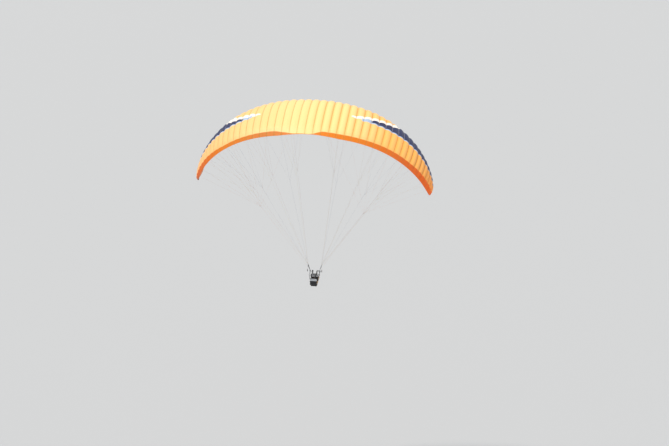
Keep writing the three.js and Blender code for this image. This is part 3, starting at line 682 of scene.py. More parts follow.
# %% [markdown]
# ## Webbing
# Straps are woven from polyester yarn. The weft floats over the warp in slanted ribs that meet in
# the middle, so a strap shows a fine herring-bone, a firmer selvedge and, where it is sewn, two
# rows of lock stitch. The ribs follow each strap's own two numbers, so they turn with it. They are
# drawn at their real two and a half millimetres, because coarser ones wouldn't fit the strap.

# %% Webbing materials
RIB_PITCH, RIB_SLANT, RIB_HEIGHT = 0.0025, 4.0, 0.00018
STITCH_PITCH, STITCH_HEIGHT, STITCH_ROW = 0.0045, 0.0003, 0.68


def dashes(tree, run):
    """1 on each stitch of a row and 0 in the gaps, along a run in metres."""
    share = sums(tree, "FRACT", times(tree, run, 1 / STITCH_PITCH))
    return between(tree, share, 0.62, 0.55)


def strap_weave(name, ground, rib, thread, selvedge):
    """Herring-bone webbing with two rows of stitches."""
    material, tree, out = blank_material(name)
    run = read(tree, "along")
    from_middle = sums(tree, "ABSOLUTE", read(tree, "side"))
    slant = times(tree, from_middle, RIB_SLANT)
    turns = sums(tree, "ADD", times(tree, run, 1 / RIB_PITCH), slant)
    ribs = between(tree, sums(tree, "SINE", times(tree, turns, 2 * math.pi)), -1, 1)
    rubbed = noise(tree, in_object(tree), 38, 4)
    edge = times(tree, between(tree, from_middle, 0.84, 0.94), 0.7)
    from_row = sums(tree, "ABSOLUTE", sums(tree, "SUBTRACT", from_middle, STITCH_ROW))
    stitches = times(tree, between(tree, from_row, 0.06, 0.03), dashes(tree, run))
    colour = cover(tree, paint(ground), paint(rib), times(tree, ribs, rubbed))
    colour = cover(tree, colour, paint(selvedge), edge)
    colour = cover(tree, colour, paint(thread), stitches)
    rib_height = times(tree, ribs, RIB_HEIGHT)
    height = sums(tree, "ADD", rib_height, times(tree, stitches, STITCH_HEIGHT))
    surfaced(tree, out, {
        "Base Color": colour, "Roughness": ranged(tree, rubbed, 0.70, 0.86),
        "Normal": bumped(tree, height, 0.8), "Specular IOR Level": 0.35,
        "Sheen Weight": 0.2, "Sheen Roughness": 0.5,
    })
    return material


riser_weave = strap_weave("polyester_riser_webbing", "#24262B", "#3C3F46", "#8E9299", "#17181B")
black_weave = strap_weave("polyester_harness_webbing", "#17181B", "#2A2C31", "#6D7177", "#101113")
handle_weave = strap_weave("padded_handle_webbing", "#1B1D22", "#30333B", "#C9782E", "#121316")
red_weave = strap_weave("red_release_webbing", "#A81E1A", "#C8342A", "#EFE6D8", "#7E1512")
band_weave = strap_weave("grey_padded_band", "#C4C8CD", "#DADDE1", "#5E6268", "#2A2C31")
print("webbing:", len(black_weave.node_tree.nodes), "nodes each")

# %% [markdown]
# ## Harness cloth and tape
# The shells are covered in coarse nylon cloth with a coating inside, which is plain woven and
# nearly matt, and a little dusty where it is touched. Three products of waves, one for each pair of
# axes, give a plain weave on every side of a curved shell without any unwrapping. The seams of the
# channels carry a row of stitches, which follow a number kept on the shell's points, and painted
# shade darkens the groove of each channel.

# %% Cloth materials
DUST_COVER, SEAM_GROOVE_SHADE_COVER, SEAM_STITCH_HEIGHT = 0.22, 0.6, 0.0004
THREAD_RELIEF = 0.12


def plain_weave(name, ground, thread, dust, pitch, stitch=None):
    """Plain woven cloth; pitch is the distance of the threads in metres."""
    material, tree, out = blank_material(name)
    place = in_object(tree)
    axes = axes_of(tree, place)
    waves = [sums(tree, "SINE", times(tree, axis, math.pi / pitch)) for axis in axes]
    crossings = [times(tree, waves[i], waves[(i + 1) % 3]) for i in range(3)]
    weave = between(tree, sums(tree, "ADD", *crossings), -0.8, 0.8)
    soiled = between(tree, noise(tree, place, 7, 6), 0.45, 0.75)
    colour = cover(tree, paint(ground), paint(thread), weave)
    colour = cover(tree, colour, paint(dust), times(tree, soiled, DUST_COVER))
    height = times(tree, weave, pitch * THREAD_RELIEF)
    if stitch:
        seam = read(tree, "seam")
        # painted shade: the cloth darkens into the groove of each pulled-in channel
        shade = times(tree, between(tree, seam, 0.5, 0.95), SEAM_GROOVE_SHADE_COVER)
        row, run = between(tree, seam, 0.955, 0.975), sums(tree, "ADD", *axes)
        stitches = times(tree, row, dashes(tree, run))
        colour = cover(tree, colour, paint("#0C0D0F"), shade)
        colour = cover(tree, colour, paint(stitch), stitches)
        height = sums(tree, "ADD", height, times(tree, stitches, SEAM_STITCH_HEIGHT))
    surfaced(tree, out, {
        "Base Color": colour, "Roughness": ranged(tree, soiled, 0.66, 0.84),
        "Normal": bumped(tree, height, 0.7), "Specular IOR Level": 0.3,
        "Sheen Weight": 0.25, "Sheen Roughness": 0.5,
    })
    return material


shell_cloth = plain_weave("coarse_nylon_cloth", "#15161A", "#25272C", "#4A4A48", 0.0012, "#7A7E84")
pad_cloth = plain_weave("ribbed_spacer_mesh", "#1B1C20", "#33363C", "#4A4A48", 0.0022)
tab_tape = plain_weave("white_polyester_tape", "#D9D2C0", "#F1ECDD", "#A39A86", 0.0010)
print("cloth:", len(shell_cloth.node_tree.nodes), "nodes")

# %% [markdown]
# ## Line sheaths
# Every line is a bundle of straight, very strong fibres in a braided polyester sheath. Each row has
# its own colour so that a pilot can sort them on the ground: red in front, yellow, blue, and orange
# for the brakes. The braid repeats every three millimetres along the line.

# %% Line materials
BRAID_PITCH, BRAID_HEIGHT, GREY_COVER = 0.003, 0.0002, 0.25


def braid(name, ground, crossing):
    """A braided sheath on lines that run mostly up and down."""
    material, tree, out = blank_material(name)
    place = in_object(tree)
    x, y, z = axes_of(tree, place)
    up = times(tree, z, 2 * math.pi / BRAID_PITCH)
    lean = times(tree, sums(tree, "ADD", x, y), math.pi / BRAID_PITCH)
    one = sums(tree, "SINE", sums(tree, "ADD", up, lean))
    other = sums(tree, "SINE", sums(tree, "SUBTRACT", up, lean))
    strands = between(tree, sums(tree, "MAXIMUM", one, other), -0.2, 1)
    greyed = times(tree, noise(tree, place, 2, 3), GREY_COVER)
    colour = cover(tree, paint(crossing), paint(ground), strands)
    height = times(tree, strands, BRAID_HEIGHT)
    surfaced(tree, out, {
        "Base Color": cover(tree, colour, paint("#8C8578"), greyed), "Roughness": 0.62,
        "Normal": bumped(tree, height, 0.6), "Sheen Weight": 0.1,
    })
    return material


sheaths = {
    "a": braid("red_braided_sheath", "#B03030", "#7A1F1F"),
    "b": braid("yellow_braided_sheath", "#D8BE3A", "#9A8420"),
    "c": braid("blue_braided_sheath", "#2F5597", "#1C3766"),
    "brake": braid("orange_braided_sheath", "#DE7420", "#9E4E12"),
    "splice": braid("sewn_line_end", "#3A3D44", "#1F2126"),
}
print("line sheaths:", len(sheaths))

# %% [markdown]
# ## Metals
# Three metals are in the hand's reach. The carabiners are drop-forged aluminium, tumbled smooth,
# with handling scratches. The spreader bars are milled aluminium plate, brushed and then anodised
# dark, and the dye is worn off along their edges. The quick links, buckles and pulley cheeks are
# stainless steel, bent or pressed and polished, so they are brighter and smoother.

# %% Metal materials
MARK_DEPTH = 0.00006


def metal(name, light, dark, smooth, rough, grain, stretch=(1, 1, 1)):
    """Bare or anodised metal; grain is the size of its marks in metres, drawn out by stretch."""
    material, tree, out = blank_material(name)
    place = in_object(tree)
    drawn = put(tree, "ShaderNodeMapping", {"Vector": place, "Scale": stretch}).outputs[0]
    marks = noise(tree, drawn, 1 / grain, 5)
    clouds = between(tree, noise(tree, place, 45, 3), 0.3, 0.6)
    colour = cover(tree, paint(dark), paint(light), clouds)
    shine = sums(tree, "ADD", times(tree, marks, rough - smooth), smooth)
    surface = surfaced(tree, out, {
        "Base Color": colour, "Metallic": 1.0, "Roughness": shine,
        "Normal": bumped(tree, times(tree, marks, MARK_DEPTH), 0.5),
    })
    return material, tree, surface, colour


forged, *_ = metal("forged_aluminium", "#C6CACE", "#A4A8AD", 0.24, 0.46, 0.004)
steel, *_ = metal("polished_stainless_steel", "#D2D3D2", "#B4B6B8", 0.14, 0.32, 0.002)
sleeve_metal, *_ = metal("black_anodised_aluminium", "#3A3D42", "#26282C", 0.30, 0.50, 0.003)
plate, tree, surface, colour = metal(
    "dark_anodised_plate", "#434852", "#3B4048", 0.30, 0.46, 0.0015, (1, 0.05, 1),
)
print("metals: 4, with", len(tree.nodes), "nodes each")

# %% [markdown]
# ## Worn rim of the plate
# The dye goes first where a face of the plate meets its rim. Both plates stand at one known distance
# from the middle, so the place of a point tells how near it is to a face, and its normal tells
# whether it is on the rim.

# %% Worn rim of the plate
PLATE_HALF_THICKNESS = 0.004
WEAR_FROM, WEAR_FULL = PLATE_HALF_THICKNESS - 0.0012, PLATE_HALF_THICKNESS - 0.0002
WEAR_COVER = 0.8

place, normal = in_object(tree), in_object(tree, "Normal")
from_centre = sums(tree, "ABSOLUTE", axes_of(tree, place)["X"])
from_plate = sums(tree, "ABSOLUTE", sums(tree, "SUBTRACT", from_centre, HANG_HALF_WIDTH))
near_face = between(tree, from_plate, WEAR_FROM, WEAR_FULL)
on_rim = between(tree, sums(tree, "ABSOLUTE", axes_of(tree, normal)["X"]), 0.7, 0.3)
chafed = between(tree, noise(tree, place, 60, 4), 0.42, 0.58)
bare = times(tree, near_face, on_rim, chafed, WEAR_COVER)
tree.links.new(cover(tree, colour, paint("#B9BDC2"), bare), surface.inputs["Base Color"])
print("the worn plate has", len(tree.nodes), "nodes")

# %% [markdown]
# ## Plastic and plywood
# The grips and the sheaves are moulded glass-filled nylon: nearly black, with the fine spark-eroded
# grain of the mould. The seat boards are birch plywood of five layers, nine millimetres in all,
# varnished. The grain runs across the board on the top layer, and on the edge the layers show light
# and dark in turn.

# %% Plastic and plywood materials
PLASTIC_GRAIN, WOOD_GRAIN, PLY_THICKNESS, GLUE_COVER = 0.00012, 0.0004, 0.0018, 0.7

plastic, tree, out = blank_material("moulded_glass_filled_nylon")
place = in_object(tree)
touched = noise(tree, place, 50, 3)
height = times(tree, noise(tree, place, 1500, 2), PLASTIC_GRAIN)
surfaced(tree, out, {
    "Base Color": cover(tree, paint("#191A1D"), paint("#2B2D31"), touched),
    "Roughness": ranged(tree, touched, 0.38, 0.54), "Normal": bumped(tree, height, 0.5), "IOR": 1.52,
})

plywood, tree, out = blank_material("varnished_birch_plywood")
place, normal = in_object(tree), in_object(tree, "Normal")
drawn = put(tree, "ShaderNodeMapping", {"Vector": place, "Scale": (1.2, 16, 16)}).outputs[0]
figure = noise(tree, drawn, 7, 7, 0.6)
wood = cover(tree, paint("#C79A61"), paint("#E2C08C"), between(tree, figure, 0.35, 0.65))
from_hang = sums(tree, "ADD", axes_of(tree, place)["Z"], HANG_DEPTH)
layers = sums(tree, "PINGPONG", from_hang, PLY_THICKNESS)
cross_ply = between(tree, layers, PLY_THICKNESS * 0.46, PLY_THICKNESS * 0.54)
on_edge = between(tree, sums(tree, "ABSOLUTE", axes_of(tree, normal)["Z"]), 0.6, 0.4)
wood = cover(tree, wood, paint("#8A5F35"), times(tree, cross_ply, on_edge, GLUE_COVER))
surfaced(tree, out, {
    "Base Color": wood, "Roughness": 0.45, "Coat Weight": 0.3, "Coat Roughness": 0.2,
    "Normal": bumped(tree, times(tree, figure, WOOD_GRAIN), 0.4),
})
print("plywood:", len(tree.nodes), "nodes")

# %% [markdown]
# ## Lines
# Each main line of the frame runs from a quick link on the riser to a rib. On the real wing it
# forks on the way up, so that every second or third rib is held, and the rear edge has a fan of
# brake lines. A line is a core with a woven sheath, two millimetres thick. They could be thin
# cylinders, one by one, but there are over eighty: their ends are worked out from the ribs, joined
# by edges, and the edges are turned into a curve with a round bevel.

# %% Line plan
# row, number in the row, rib of the right half, chord place, ribs of its forks
MAIN_LINES = [
    ("a", 1, 26, 0.12, (24, 28)), ("a", 2, 32, 0.12, (30, 34)), ("a", 3, 38, 0.12, (36, 40, 42)),
    ("b", 1, 26, 0.34, (24, 28)), ("b", 2, 32, 0.34, (30, 34)),
    ("b", 3, 38, 0.34, (36, 40, 42, 44)),
    ("c", 1, 27, 0.62, (24, 29.5)), ("c", 2, 34, 0.62, (32, 36, 39)),
]
RISER_YS = {"a": 0.052, "b": 0.0, "c": -0.052}
BRAKE_RIB, BRAKE_FORKS = 36, (25, 28, 31, 33.5, 38.5, 41, 43)
FORK_SHARE, BRAKE_FORK_SHARE = 0.62, 0.55
# heights over the hang point, and how far over its quick link a main line starts
MAIN_LOOP_Z, MAILLON_TOP, LINE_FOOT = 0.076, 0.434, 0.0034
LINE_SPACING, SPLICE_HALF_LENGTH = 0.004, 0.035
RISER_LEAN = math.radians(17)
PULLEY_Z, PULLEY_OUTBOARD, PULLEY_RADIUS = 0.33, 0.045, 0.012
PULLEY = Vector((
    HANG_HALF_WIDTH + math.tan(RISER_LEAN) * (PULLEY_Z - MAIN_LOOP_Z) + PULLEY_OUTBOARD,
    -0.075,
    PULLEY_Z - HANG_DEPTH,
))


def leaning(side):
    """The turn about the middle of its loop by which the lines lean a riser outwards."""
    middle = Vector((side * HANG_HALF_WIDTH, 0, MAIN_LOOP_Z - HANG_DEPTH))
    turn = Matrix.Rotation(side * RISER_LEAN, 4, "Y")
    return Matrix.Translation(middle) @ turn @ Matrix.Translation(-middle)


def at_pulley(side, up=0.0):
    """The middle of a brake pulley, or a place straight above it."""
    return Vector((side * PULLEY.x, PULLEY.y, PULLEY.z + up))


def rib_place(side, rib, xi):
    """Where a line meets the lower skin."""
    return Vector(skin_point(side * rib_span(rib), xi, -1))


def main_line(side, row, number, rib, xi):
    """Both ends of a main line, as in the frame."""
    in_row = sum(1 for r in MAIN_LINES if r[0] == row)
    offset = (number - (in_row + 1) / 2) * LINE_SPACING
    low_z = MAILLON_TOP + LINE_FOOT - HANG_DEPTH
    low = Vector((side * (HANG_HALF_WIDTH + offset), RISER_YS[row], low_z))
    return leaning(side) @ low, rib_place(side, rib, xi)


def splice(low, high, fork):
    """The sewn length of a line on both sides of its fork."""
    reach = (high - low).normalized() * SPLICE_HALF_LENGTH
    return fork - reach, fork + reach


upper_runs, splice_runs, tab_places = {}, {}, []
for side, side_name in SIDES:
    splices = splice_runs.setdefault(side_name, [])
    for row, number, rib, xi, forks in MAIN_LINES:
        low, high = main_line(side, row, number, rib, xi)
        fork = low.lerp(high, FORK_SHARE)
        runs = upper_runs.setdefault((row, side_name), [])
        runs.extend((fork, rib_place(side, r, xi)) for r in forks)
        tab_places.extend((side, r, xi) for r in (rib, *forks))
        splices.append(splice(low, high, fork))
    low, high = at_pulley(side, PULLEY_RADIUS), rib_place(side, BRAKE_RIB, 1.0)
    fork = low.lerp(high, BRAKE_FORK_SHARE)
    upper_runs["brake", side_name] = [(fork, rib_place(side, r, 1.0)) for r in BRAKE_FORKS]
    splices.append(splice(low, high, fork))
print("forked lines:", sum(len(r) for r in upper_runs.values()), "and", len(tab_places), "tabs")

# %% [markdown]
# ## From edges to cords
# A mesh that is nothing but edges turns into a curve, and the curve's bevel makes it round. The
# sewn length round each fork is a second, thicker cord over the first.


# %% Round cords from edges
UPPER_LINE_RADIUS, SPLICE_RADIUS = 0.0009, 0.0019


def new_piece(name, points, edges, faces):
    """A piece made from a list of points and what joins them."""
    data = bpy.data.meshes.new(name)
    data.from_pydata(points, edges, faces)
    piece = bpy.data.objects.new(name, data)
    bpy.context.scene.collection.objects.link(piece)
    return piece


def cords(name, runs, radius, sheath):
    """Straight cords of one thickness, joined in one piece that rides on the wing."""
    points = [p for run in runs for p in run]
    edges = [(2 * i, 2 * i + 1) for i in range(len(runs))]
    piece = new_piece(name, points, edges, [])
    choose(piece)
    bpy.ops.object.convert(target="CURVE")
    piece.data.bevel_depth = radius
    piece.data.bevel_resolution = 1
    piece.data.use_fill_caps = True
    bpy.ops.object.convert(target="MESH")
    bpy.ops.object.shade_smooth_by_angle(angle=math.radians(60))
    dress(piece, sheaths[sheath])
    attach(piece, "wing")
    return piece


upper_lines = [
    cords(f"upper_lines_{row}_{side_name}", runs, UPPER_LINE_RADIUS, row)
    for (row, side_name), runs in upper_runs.items()
]
for side_name, runs in splice_runs.items():
    cords(f"line_splices_{side_name}", runs, SPLICE_RADIUS, "splice")
print("cords:", sum(len(o.data.polygons) for o in upper_lines), "faces")

# %% [markdown]
# ## Line tabs
# Each line is tied to a small tab of tape that is sewn into the rib. It is a plane whose free end
# is drawn in to a point and that gets the thickness of the tape. It is modelled once at the origin,
# then copied to every attachment, turned so that it follows its line.

# %% Tabs
TAB_WIDTH, TAB_LENGTH, TAB_THICK, TAB_IN_RIB = 0.016, 0.030, 0.0016, 0.004

unselect()
bpy.ops.mesh.primitive_plane_add(size=1, location=(0, 0, 0))
tab = bpy.context.object
mesh = shaping(tab)
for v in mesh.verts:
    v.co = Vector((v.co.x * TAB_WIDTH, 0, (v.co.y - 0.5) * TAB_LENGTH))
    v.select_set(v.co.z < -TAB_LENGTH / 2)
mesh.select_flush(True)
bpy.ops.transform.resize(value=(0.35, 1, 1), center_override=(0, 0, -TAB_LENGTH))
bpy.ops.mesh.select_all(action="SELECT")
bpy.ops.mesh.subdivide(number_cuts=1)
bpy.ops.object.mode_set(mode="OBJECT")
thick = tab.modifiers.new("thick", "SOLIDIFY")
thick.thickness, thick.offset = TAB_THICK, 0
bpy.ops.object.modifier_apply(modifier="thick")

tab_points = table(tab.data.vertices)
tab_faces = [list(p.vertices) for p in tab.data.polygons]
all_points, all_faces = [], []
for side, rib, xi in tab_places:
    top = rib_place(side, rib, xi) + Vector((0, 0, TAB_IN_RIB))
    low = leaning(side) @ Vector((side * HANG_HALF_WIDTH, 0, MAILLON_TOP - HANG_DEPTH))
    up = (top - low).normalized()
    wide = up.cross(Vector((0, 1, 0))).normalized()
    basis = np.array([wide, up.cross(wide), up])
    first = len(all_points)
    all_points.extend((tab_points @ basis + np.array(top)).tolist())
    all_faces.extend([[first + i for i in f] for f in tab_faces])
bpy.data.objects.remove(tab)
tabs = new_piece("line_tabs", all_points, [], all_faces)
dress(tabs, tab_tape)
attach(tabs, "wing")
print("tabs:", len(tab_places), "copies,", len(all_faces), "faces")

# %% [markdown]
# ## Straps
# All webbing here is made the same way, as a sewer lays it: a short flat piece first, and then its
# end is drawn on from place to place. A curve with a flat bevel would do as well, but it twists by
# itself in tight bends. Every strap keeps two numbers for its weave: the length along it in metres
# and the place across it from -1 to 1.


# %% Strap helper
def smooth_path(places, steps=6):
    """A finer path through the given places, without corners."""
    ends = [Vector(q) for q in places]
    p = [2 * ends[0] - ends[1], *ends, 2 * ends[-1] - ends[-2]]
    fine = []
    for i in range(1, len(p) - 2):
        a, b, c, d = p[i - 1:i + 3]
        for k in range(steps):
            t = k / steps
            fine.append(0.5 * (
                2 * b + (c - a) * t + (2 * a - 5 * b + 4 * c - d) * t ** 2
                + (3 * b - a - 3 * c + d) * t ** 3
            ))
    return fine + [p[-2]]


def around(centre, radius, start, stop, steps=10):
    """Places round a bar that lies along X, angles in degrees from +Y towards +Z."""
    angles = [math.radians(start + (stop - start) * i / steps) for i in range(steps + 1)]
    return [centre + Vector((0, math.cos(a) * radius, math.sin(a) * radius)) for a in angles]


def bevelled(piece, width, segments=2, degrees=30):
    """Rounds the edges that are sharper than an angle."""
    rounded = piece.modifiers.new("rounded", "BEVEL")
    rounded.width, rounded.segments = width, segments
    rounded.limit_method, rounded.angle_limit = "ANGLE", math.radians(degrees)


def finish_piece(piece, angle=40):
    """Applies every modifier in turn, puts the object's place in its mesh and smooths it."""
    choose(piece)
    for modifier in list(piece.modifiers):
        bpy.ops.object.modifier_apply(modifier=modifier.name)
    bpy.ops.object.transform_apply(location=True, rotation=True, scale=True)
    bpy.ops.object.shade_smooth_by_angle(angle=math.radians(angle))
    return piece


def strap(name, path, across, width, thick, weave=black_weave):
    """A flat strap along a path; across is its sideways direction, one for all or one per place."""
    sides = [Vector(a).normalized() for a in across] if isinstance(across, list) else None
    unselect()
    bpy.ops.mesh.primitive_plane_add(size=width, location=(0, 0, 0))
    piece = bpy.context.object
    piece.name = name
    mesh = shaping(piece)
    run = mesh.verts.layers.float.new("along")
    edge = mesh.verts.layers.float.new("side")
    length = 0.0
    for i, place in enumerate(path):
        here = sides[i] if sides else Vector(across).normalized()
        if i == 0:
            low = sorted(mesh.verts, key=lambda v: v.co.y)
            pair, ahead_pair = low[:2], low[2:]
        elif i == 1:
            pair = ahead_pair
            for v in pair:
                v.select_set(True)
            mesh.select_flush(True)
        else:
            bpy.ops.mesh.extrude_edges_move()
            mesh = bmesh.from_edit_mesh(piece.data)
            run = mesh.verts.layers.float["along"]
            edge = mesh.verts.layers.float["side"]
            pair = [v for v in mesh.verts if v.select]
        length += (Vector(place) - Vector(path[i - 1])).length if i else 0
        if i < 2:
            pair.sort(key=lambda v: v.co.x)
        else:
            pair.sort(key=lambda v: v[edge])
        for v, sign in zip(pair, (-1, 1)):
            v.co = Vector(place) + here * sign * width / 2
            v[run], v[edge] = length, sign
    bmesh.update_edit_mesh(piece.data)
    bpy.ops.object.mode_set(mode="OBJECT")
    layer = piece.modifiers.new("thick", "SOLIDIFY")
    layer.thickness, layer.offset = thick, 0
    bevelled(piece, thick * 0.3, 2, 50)
    dress(piece, weave)
    return finish_piece(piece)


def merged(name, pieces):
    """Joins several pieces into one."""
    unselect()
    for piece in pieces:
        piece.select_set(True)
    bpy.context.view_layer.objects.active = pieces[0]
    if len(pieces) > 1:
        bpy.ops.object.join()
    pieces[0].name = name
    return pieces[0]


print("a smooth path of 3 places has", len(smooth_path([(0, 0, 0), (1, 0, 0), (1, 1, 0)])), "points")

# %% [markdown]
# ## Risers
# Three straps leave one loop on each main carabiner and end in a quick link each. The webbing turns
# round the link and is sewn down on itself, which the path follows: up, round the bar, and back.
# The straps are laid out upright, and then leaned outwards to where the lines pull them.

# %% Riser webbing
MAILLON_LOW = 0.40
# width and thickness of the webbing, of the sewn block over the loop and of the loop itself
RISER, BLOCK, LOOP = (0.016, 0.0026), (0.021, 0.0062), (0.020, 0.0030)
BLOCK_HEIGHTS = (0.0085, 0.02, 0.04, 0.055)
LINK_BEND, SEWN_BACK, LOOP_BEND = 0.0045, 0.0052, 0.0076

risers = {}
for side, side_name in SIDES:
    hang_at = Vector((side * HANG_HALF_WIDTH, 0, -HANG_DEPTH))
    loop_at = hang_at + Vector((0, 0, MAIN_LOOP_Z))
    parts = []
    for row, y in RISER_YS.items():
        link_at = hang_at + Vector((0, y, MAILLON_LOW))
        start = loop_at + Vector((0, y * 0.05, 0.010))
        up = [start, start.lerp(link_at, 0.12), start.lerp(link_at, 0.5)]
        up.append(link_at - Vector((0, 0, 0.03)))
        bend = around(link_at, LINK_BEND, -20, 200)
        sewn = [link_at + Vector((0, -SEWN_BACK, -0.02))]
        sewn.append(start.lerp(link_at, 0.80) + Vector((0, -0.003, 0)))
        path = smooth_path(up, 4) + bend + sewn
        parts.append(strap(f"riser_{row}", path, (1, 0, 0), *RISER, riser_weave))
    block = [loop_at + Vector((0, 0, z)) for z in BLOCK_HEIGHTS]
    parts.append(strap("riser_block", block, (1, 0, 0), *BLOCK, riser_weave))
    for part in parts:
        part.data.transform(leaning(side))
    ring = around(loop_at, LOOP_BEND, -80, 280, 20)
    parts.append(strap("riser_loop", ring, (1, 0, 0), *LOOP, riser_weave))
    risers[side_name] = merged(f"riser_webbing_{side_name}", parts)
    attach(risers[side_name], "wing")
print("risers:", len(risers["left"].data.polygons), "faces each")

# %% [markdown]
# ## Quick links
# A quick link is a bar of stainless steel bent to an oval, closed by a six-sided barrel nut. A
# torus is the bent bar: its upper half is moved up in edit mode, which makes the straight sides.

# %% Quick link, modelled once
LINK_ROD, LINK_HALF_WIDTH, LINK_HEIGHT = 0.0025, 0.011, 0.034
NUT_RADIUS, NUT_LENGTH = 0.0042, 0.012


def rod(radius, length, place=(0, 0, 0), turn=(0, 0, 0), vertices=20):
    """A plain cylinder with its place and turn put in its mesh."""
    unselect()
    bpy.ops.mesh.primitive_cylinder_add(
        vertices=vertices, radius=radius, depth=length, location=place, rotation=turn,
    )
    bpy.ops.object.transform_apply(location=True, rotation=True, scale=True)
    return bpy.context.object


unselect()
bpy.ops.mesh.primitive_torus_add(
    major_segments=28, minor_segments=10, major_radius=LINK_HALF_WIDTH, minor_radius=LINK_ROD,
    rotation=(math.pi / 2, 0, 0),
)
link = bpy.context.object
bpy.ops.object.transform_apply(location=True, rotation=True, scale=True)
pick_points(shaping(link), lambda v: v.co.z > 0.0005)
bpy.ops.transform.translate(value=(0, 0, LINK_HEIGHT - 2 * LINK_HALF_WIDTH))
bpy.ops.object.mode_set(mode="OBJECT")
nut_place = (LINK_HALF_WIDTH, 0, LINK_HEIGHT / 2 - LINK_HALF_WIDTH)
nut = rod(NUT_RADIUS, NUT_LENGTH, nut_place, vertices=6)
pick_faces(shaping(nut), lambda f: abs(f.normal.z) > 0.9)
bpy.ops.mesh.inset(thickness=0.0008, depth=0.0006)
bpy.ops.object.mode_set(mode="OBJECT")
finish_piece(nut, 30)
link = merged("quick_link", [link, nut])
finish_piece(link, 35)
dress(link, steel)

maillons = {}
for side, side_name in SIDES:
    copies = []
    for row, y in RISER_YS.items():
        middle = Vector((side * HANG_HALF_WIDTH, y, MAILLON_LOW - HANG_DEPTH + LINK_HALF_WIDTH))
        move = leaning(side) @ Matrix.Translation(middle)
        copies.append(copy_of(link, f"quick_link_{row}", move))
    maillons[side_name] = merged(f"quick_links_{side_name}", copies)
    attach(maillons[side_name], "wing")
    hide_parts(f"riser_set_{side_name}")
bpy.data.objects.remove(link)
print("quick links:", len(maillons["left"].data.polygons), "faces a side")

# %% [markdown]
# ## Brake pulleys
# The brake line runs down through a small pulley on the rear riser to a handle. The sheave is a
# short cylinder: its rim is cut in the middle and the new ring drawn in, which makes the groove.
# Two cheeks hold it, and a tape ties it to the riser.

# %% Pulleys
BRAKE_DROP = 0.13
SHEAVE_WIDTH, GROOVE = 0.0062, 0.72
CHEEK_X, CHEEK_THICK, AXLE_RADIUS, AXLE_LENGTH = 0.0042, 0.0014, 0.003, 0.012
ALONG_X, ALONG_Y = (0, math.pi / 2, 0), (math.pi / 2, 0, 0)
TAPE = (0.010, 0.0018)


def disc(radius, depth, place, vertices=32):
    """A disc that faces along X, with softly bevelled rims."""
    piece = rod(radius, depth, place, ALONG_X, vertices)
    bevelled(piece, min(depth, radius) * 0.18)
    return finish_piece(piece, 35)


pulleys = {}
for side, side_name in SIDES:
    centre = at_pulley(side)
    sheave = rod(PULLEY_RADIUS, SHEAVE_WIDTH, centre, ALONG_X, 32)
    shaping(sheave)
    cut(centre, (1, 0, 0))
    bpy.ops.transform.resize(value=(1, GROOVE, GROOVE), center_override=centre)
    bpy.ops.object.mode_set(mode="OBJECT")
    finish_piece(sheave, 30)
    dress(sheave, plastic)
    metal_parts = [
        disc(PULLEY_RADIUS * 0.95, CHEEK_THICK, centre + Vector((x, 0, 0)))
        for x in (-CHEEK_X, CHEEK_X)
    ]
    metal_parts.append(disc(AXLE_RADIUS, AXLE_LENGTH, centre, 16))
    for piece in metal_parts:
        dress(piece, steel)
    rear = leaning(side) @ Vector((side * (HANG_HALF_WIDTH + 0.005), -0.0475, PULLEY.z + 0.03))
    over_axle = centre + Vector((0, 0.002, 0.013))
    tape_path = [rear, rear.lerp(over_axle, 0.6), over_axle, centre + Vector((0, 0, 0.008))]
    tape = strap("pulley_tape", smooth_path(tape_path, 4), (0, 1, 0), *TAPE, riser_weave)
    pulleys[side_name] = merged(f"brake_pulley_set_{side_name}", [sheave, *metal_parts])
    tape.name = f"pulley_tape_{side_name}"
    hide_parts(f"brake_pulley_{side_name}")
    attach(pulleys[side_name], "wing")
    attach(tape, "wing")
print("pulley:", len(pulleys["left"].data.polygons), "faces")

# %% [markdown]
# ## Brake lines
# The lower line is a thin cylinder cut into short lengths, so that it can stretch evenly between
# the pulley, which stays with the wing, and the handle, which is pulled.

# %% Brake lines that lengthen
LOWER_LINE_RADIUS, LOWER_LINE_LENGTHS = 0.0012, 24

brake_lines = {}
for side, side_name in SIDES:
    top = at_pulley(side, -PULLEY_RADIUS)
    low = top - Vector((0, 0, BRAKE_DROP))
    line = rod(LOWER_LINE_RADIUS, BRAKE_DROP, (top + low) / 2, vertices=8)
    line.name = f"brake_lower_line_{side_name}"
    shaping(line)
    for i in range(1, LOWER_LINE_LENGTHS):
        cut(top.lerp(low, i / LOWER_LINE_LENGTHS), (0, 0, 1))
    bpy.ops.object.mode_set(mode="OBJECT")
    finish_piece(line, 60)
    dress(line, sheaths["brake"])
    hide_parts(f"brake_line_{side_name}")
    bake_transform(line, "wing", f"brake_{side_name}", start=top, end=low)
    brake_lines[side_name] = line
print("brake line:", len(brake_lines["left"].data.vertices), "points")

# %% [markdown]
# ## Brake handles
# A handle is a loop of padded webbing. The grip in its lower end is a cylinder that is cut in four
# places, and the new rings are made wider or narrower, so that fingers find their place. A knob at
# the top takes the knot of the line.

# %% Handles
HANDLE_WIDTH, HANDLE_WEBBING = 0.092, (0.020, 0.0038)
KNOB_RADIUS, KNOB_LENGTH = 0.0085, 0.026
GRIP_RADIUS, GRIP_LENGTH, GRIP_DROP, FINGER_PITCH = 0.0105, 0.058, 0.1305, 0.011
# share of half the width, and height from the top, down one half of the loop
HALF_LOOP = [
    (0, -0.018), (0.30, -0.030), (0.80, -0.066), (0.98, -0.100), (0.86, -0.122), (0.45, -0.130),
    (0, -0.131),
]

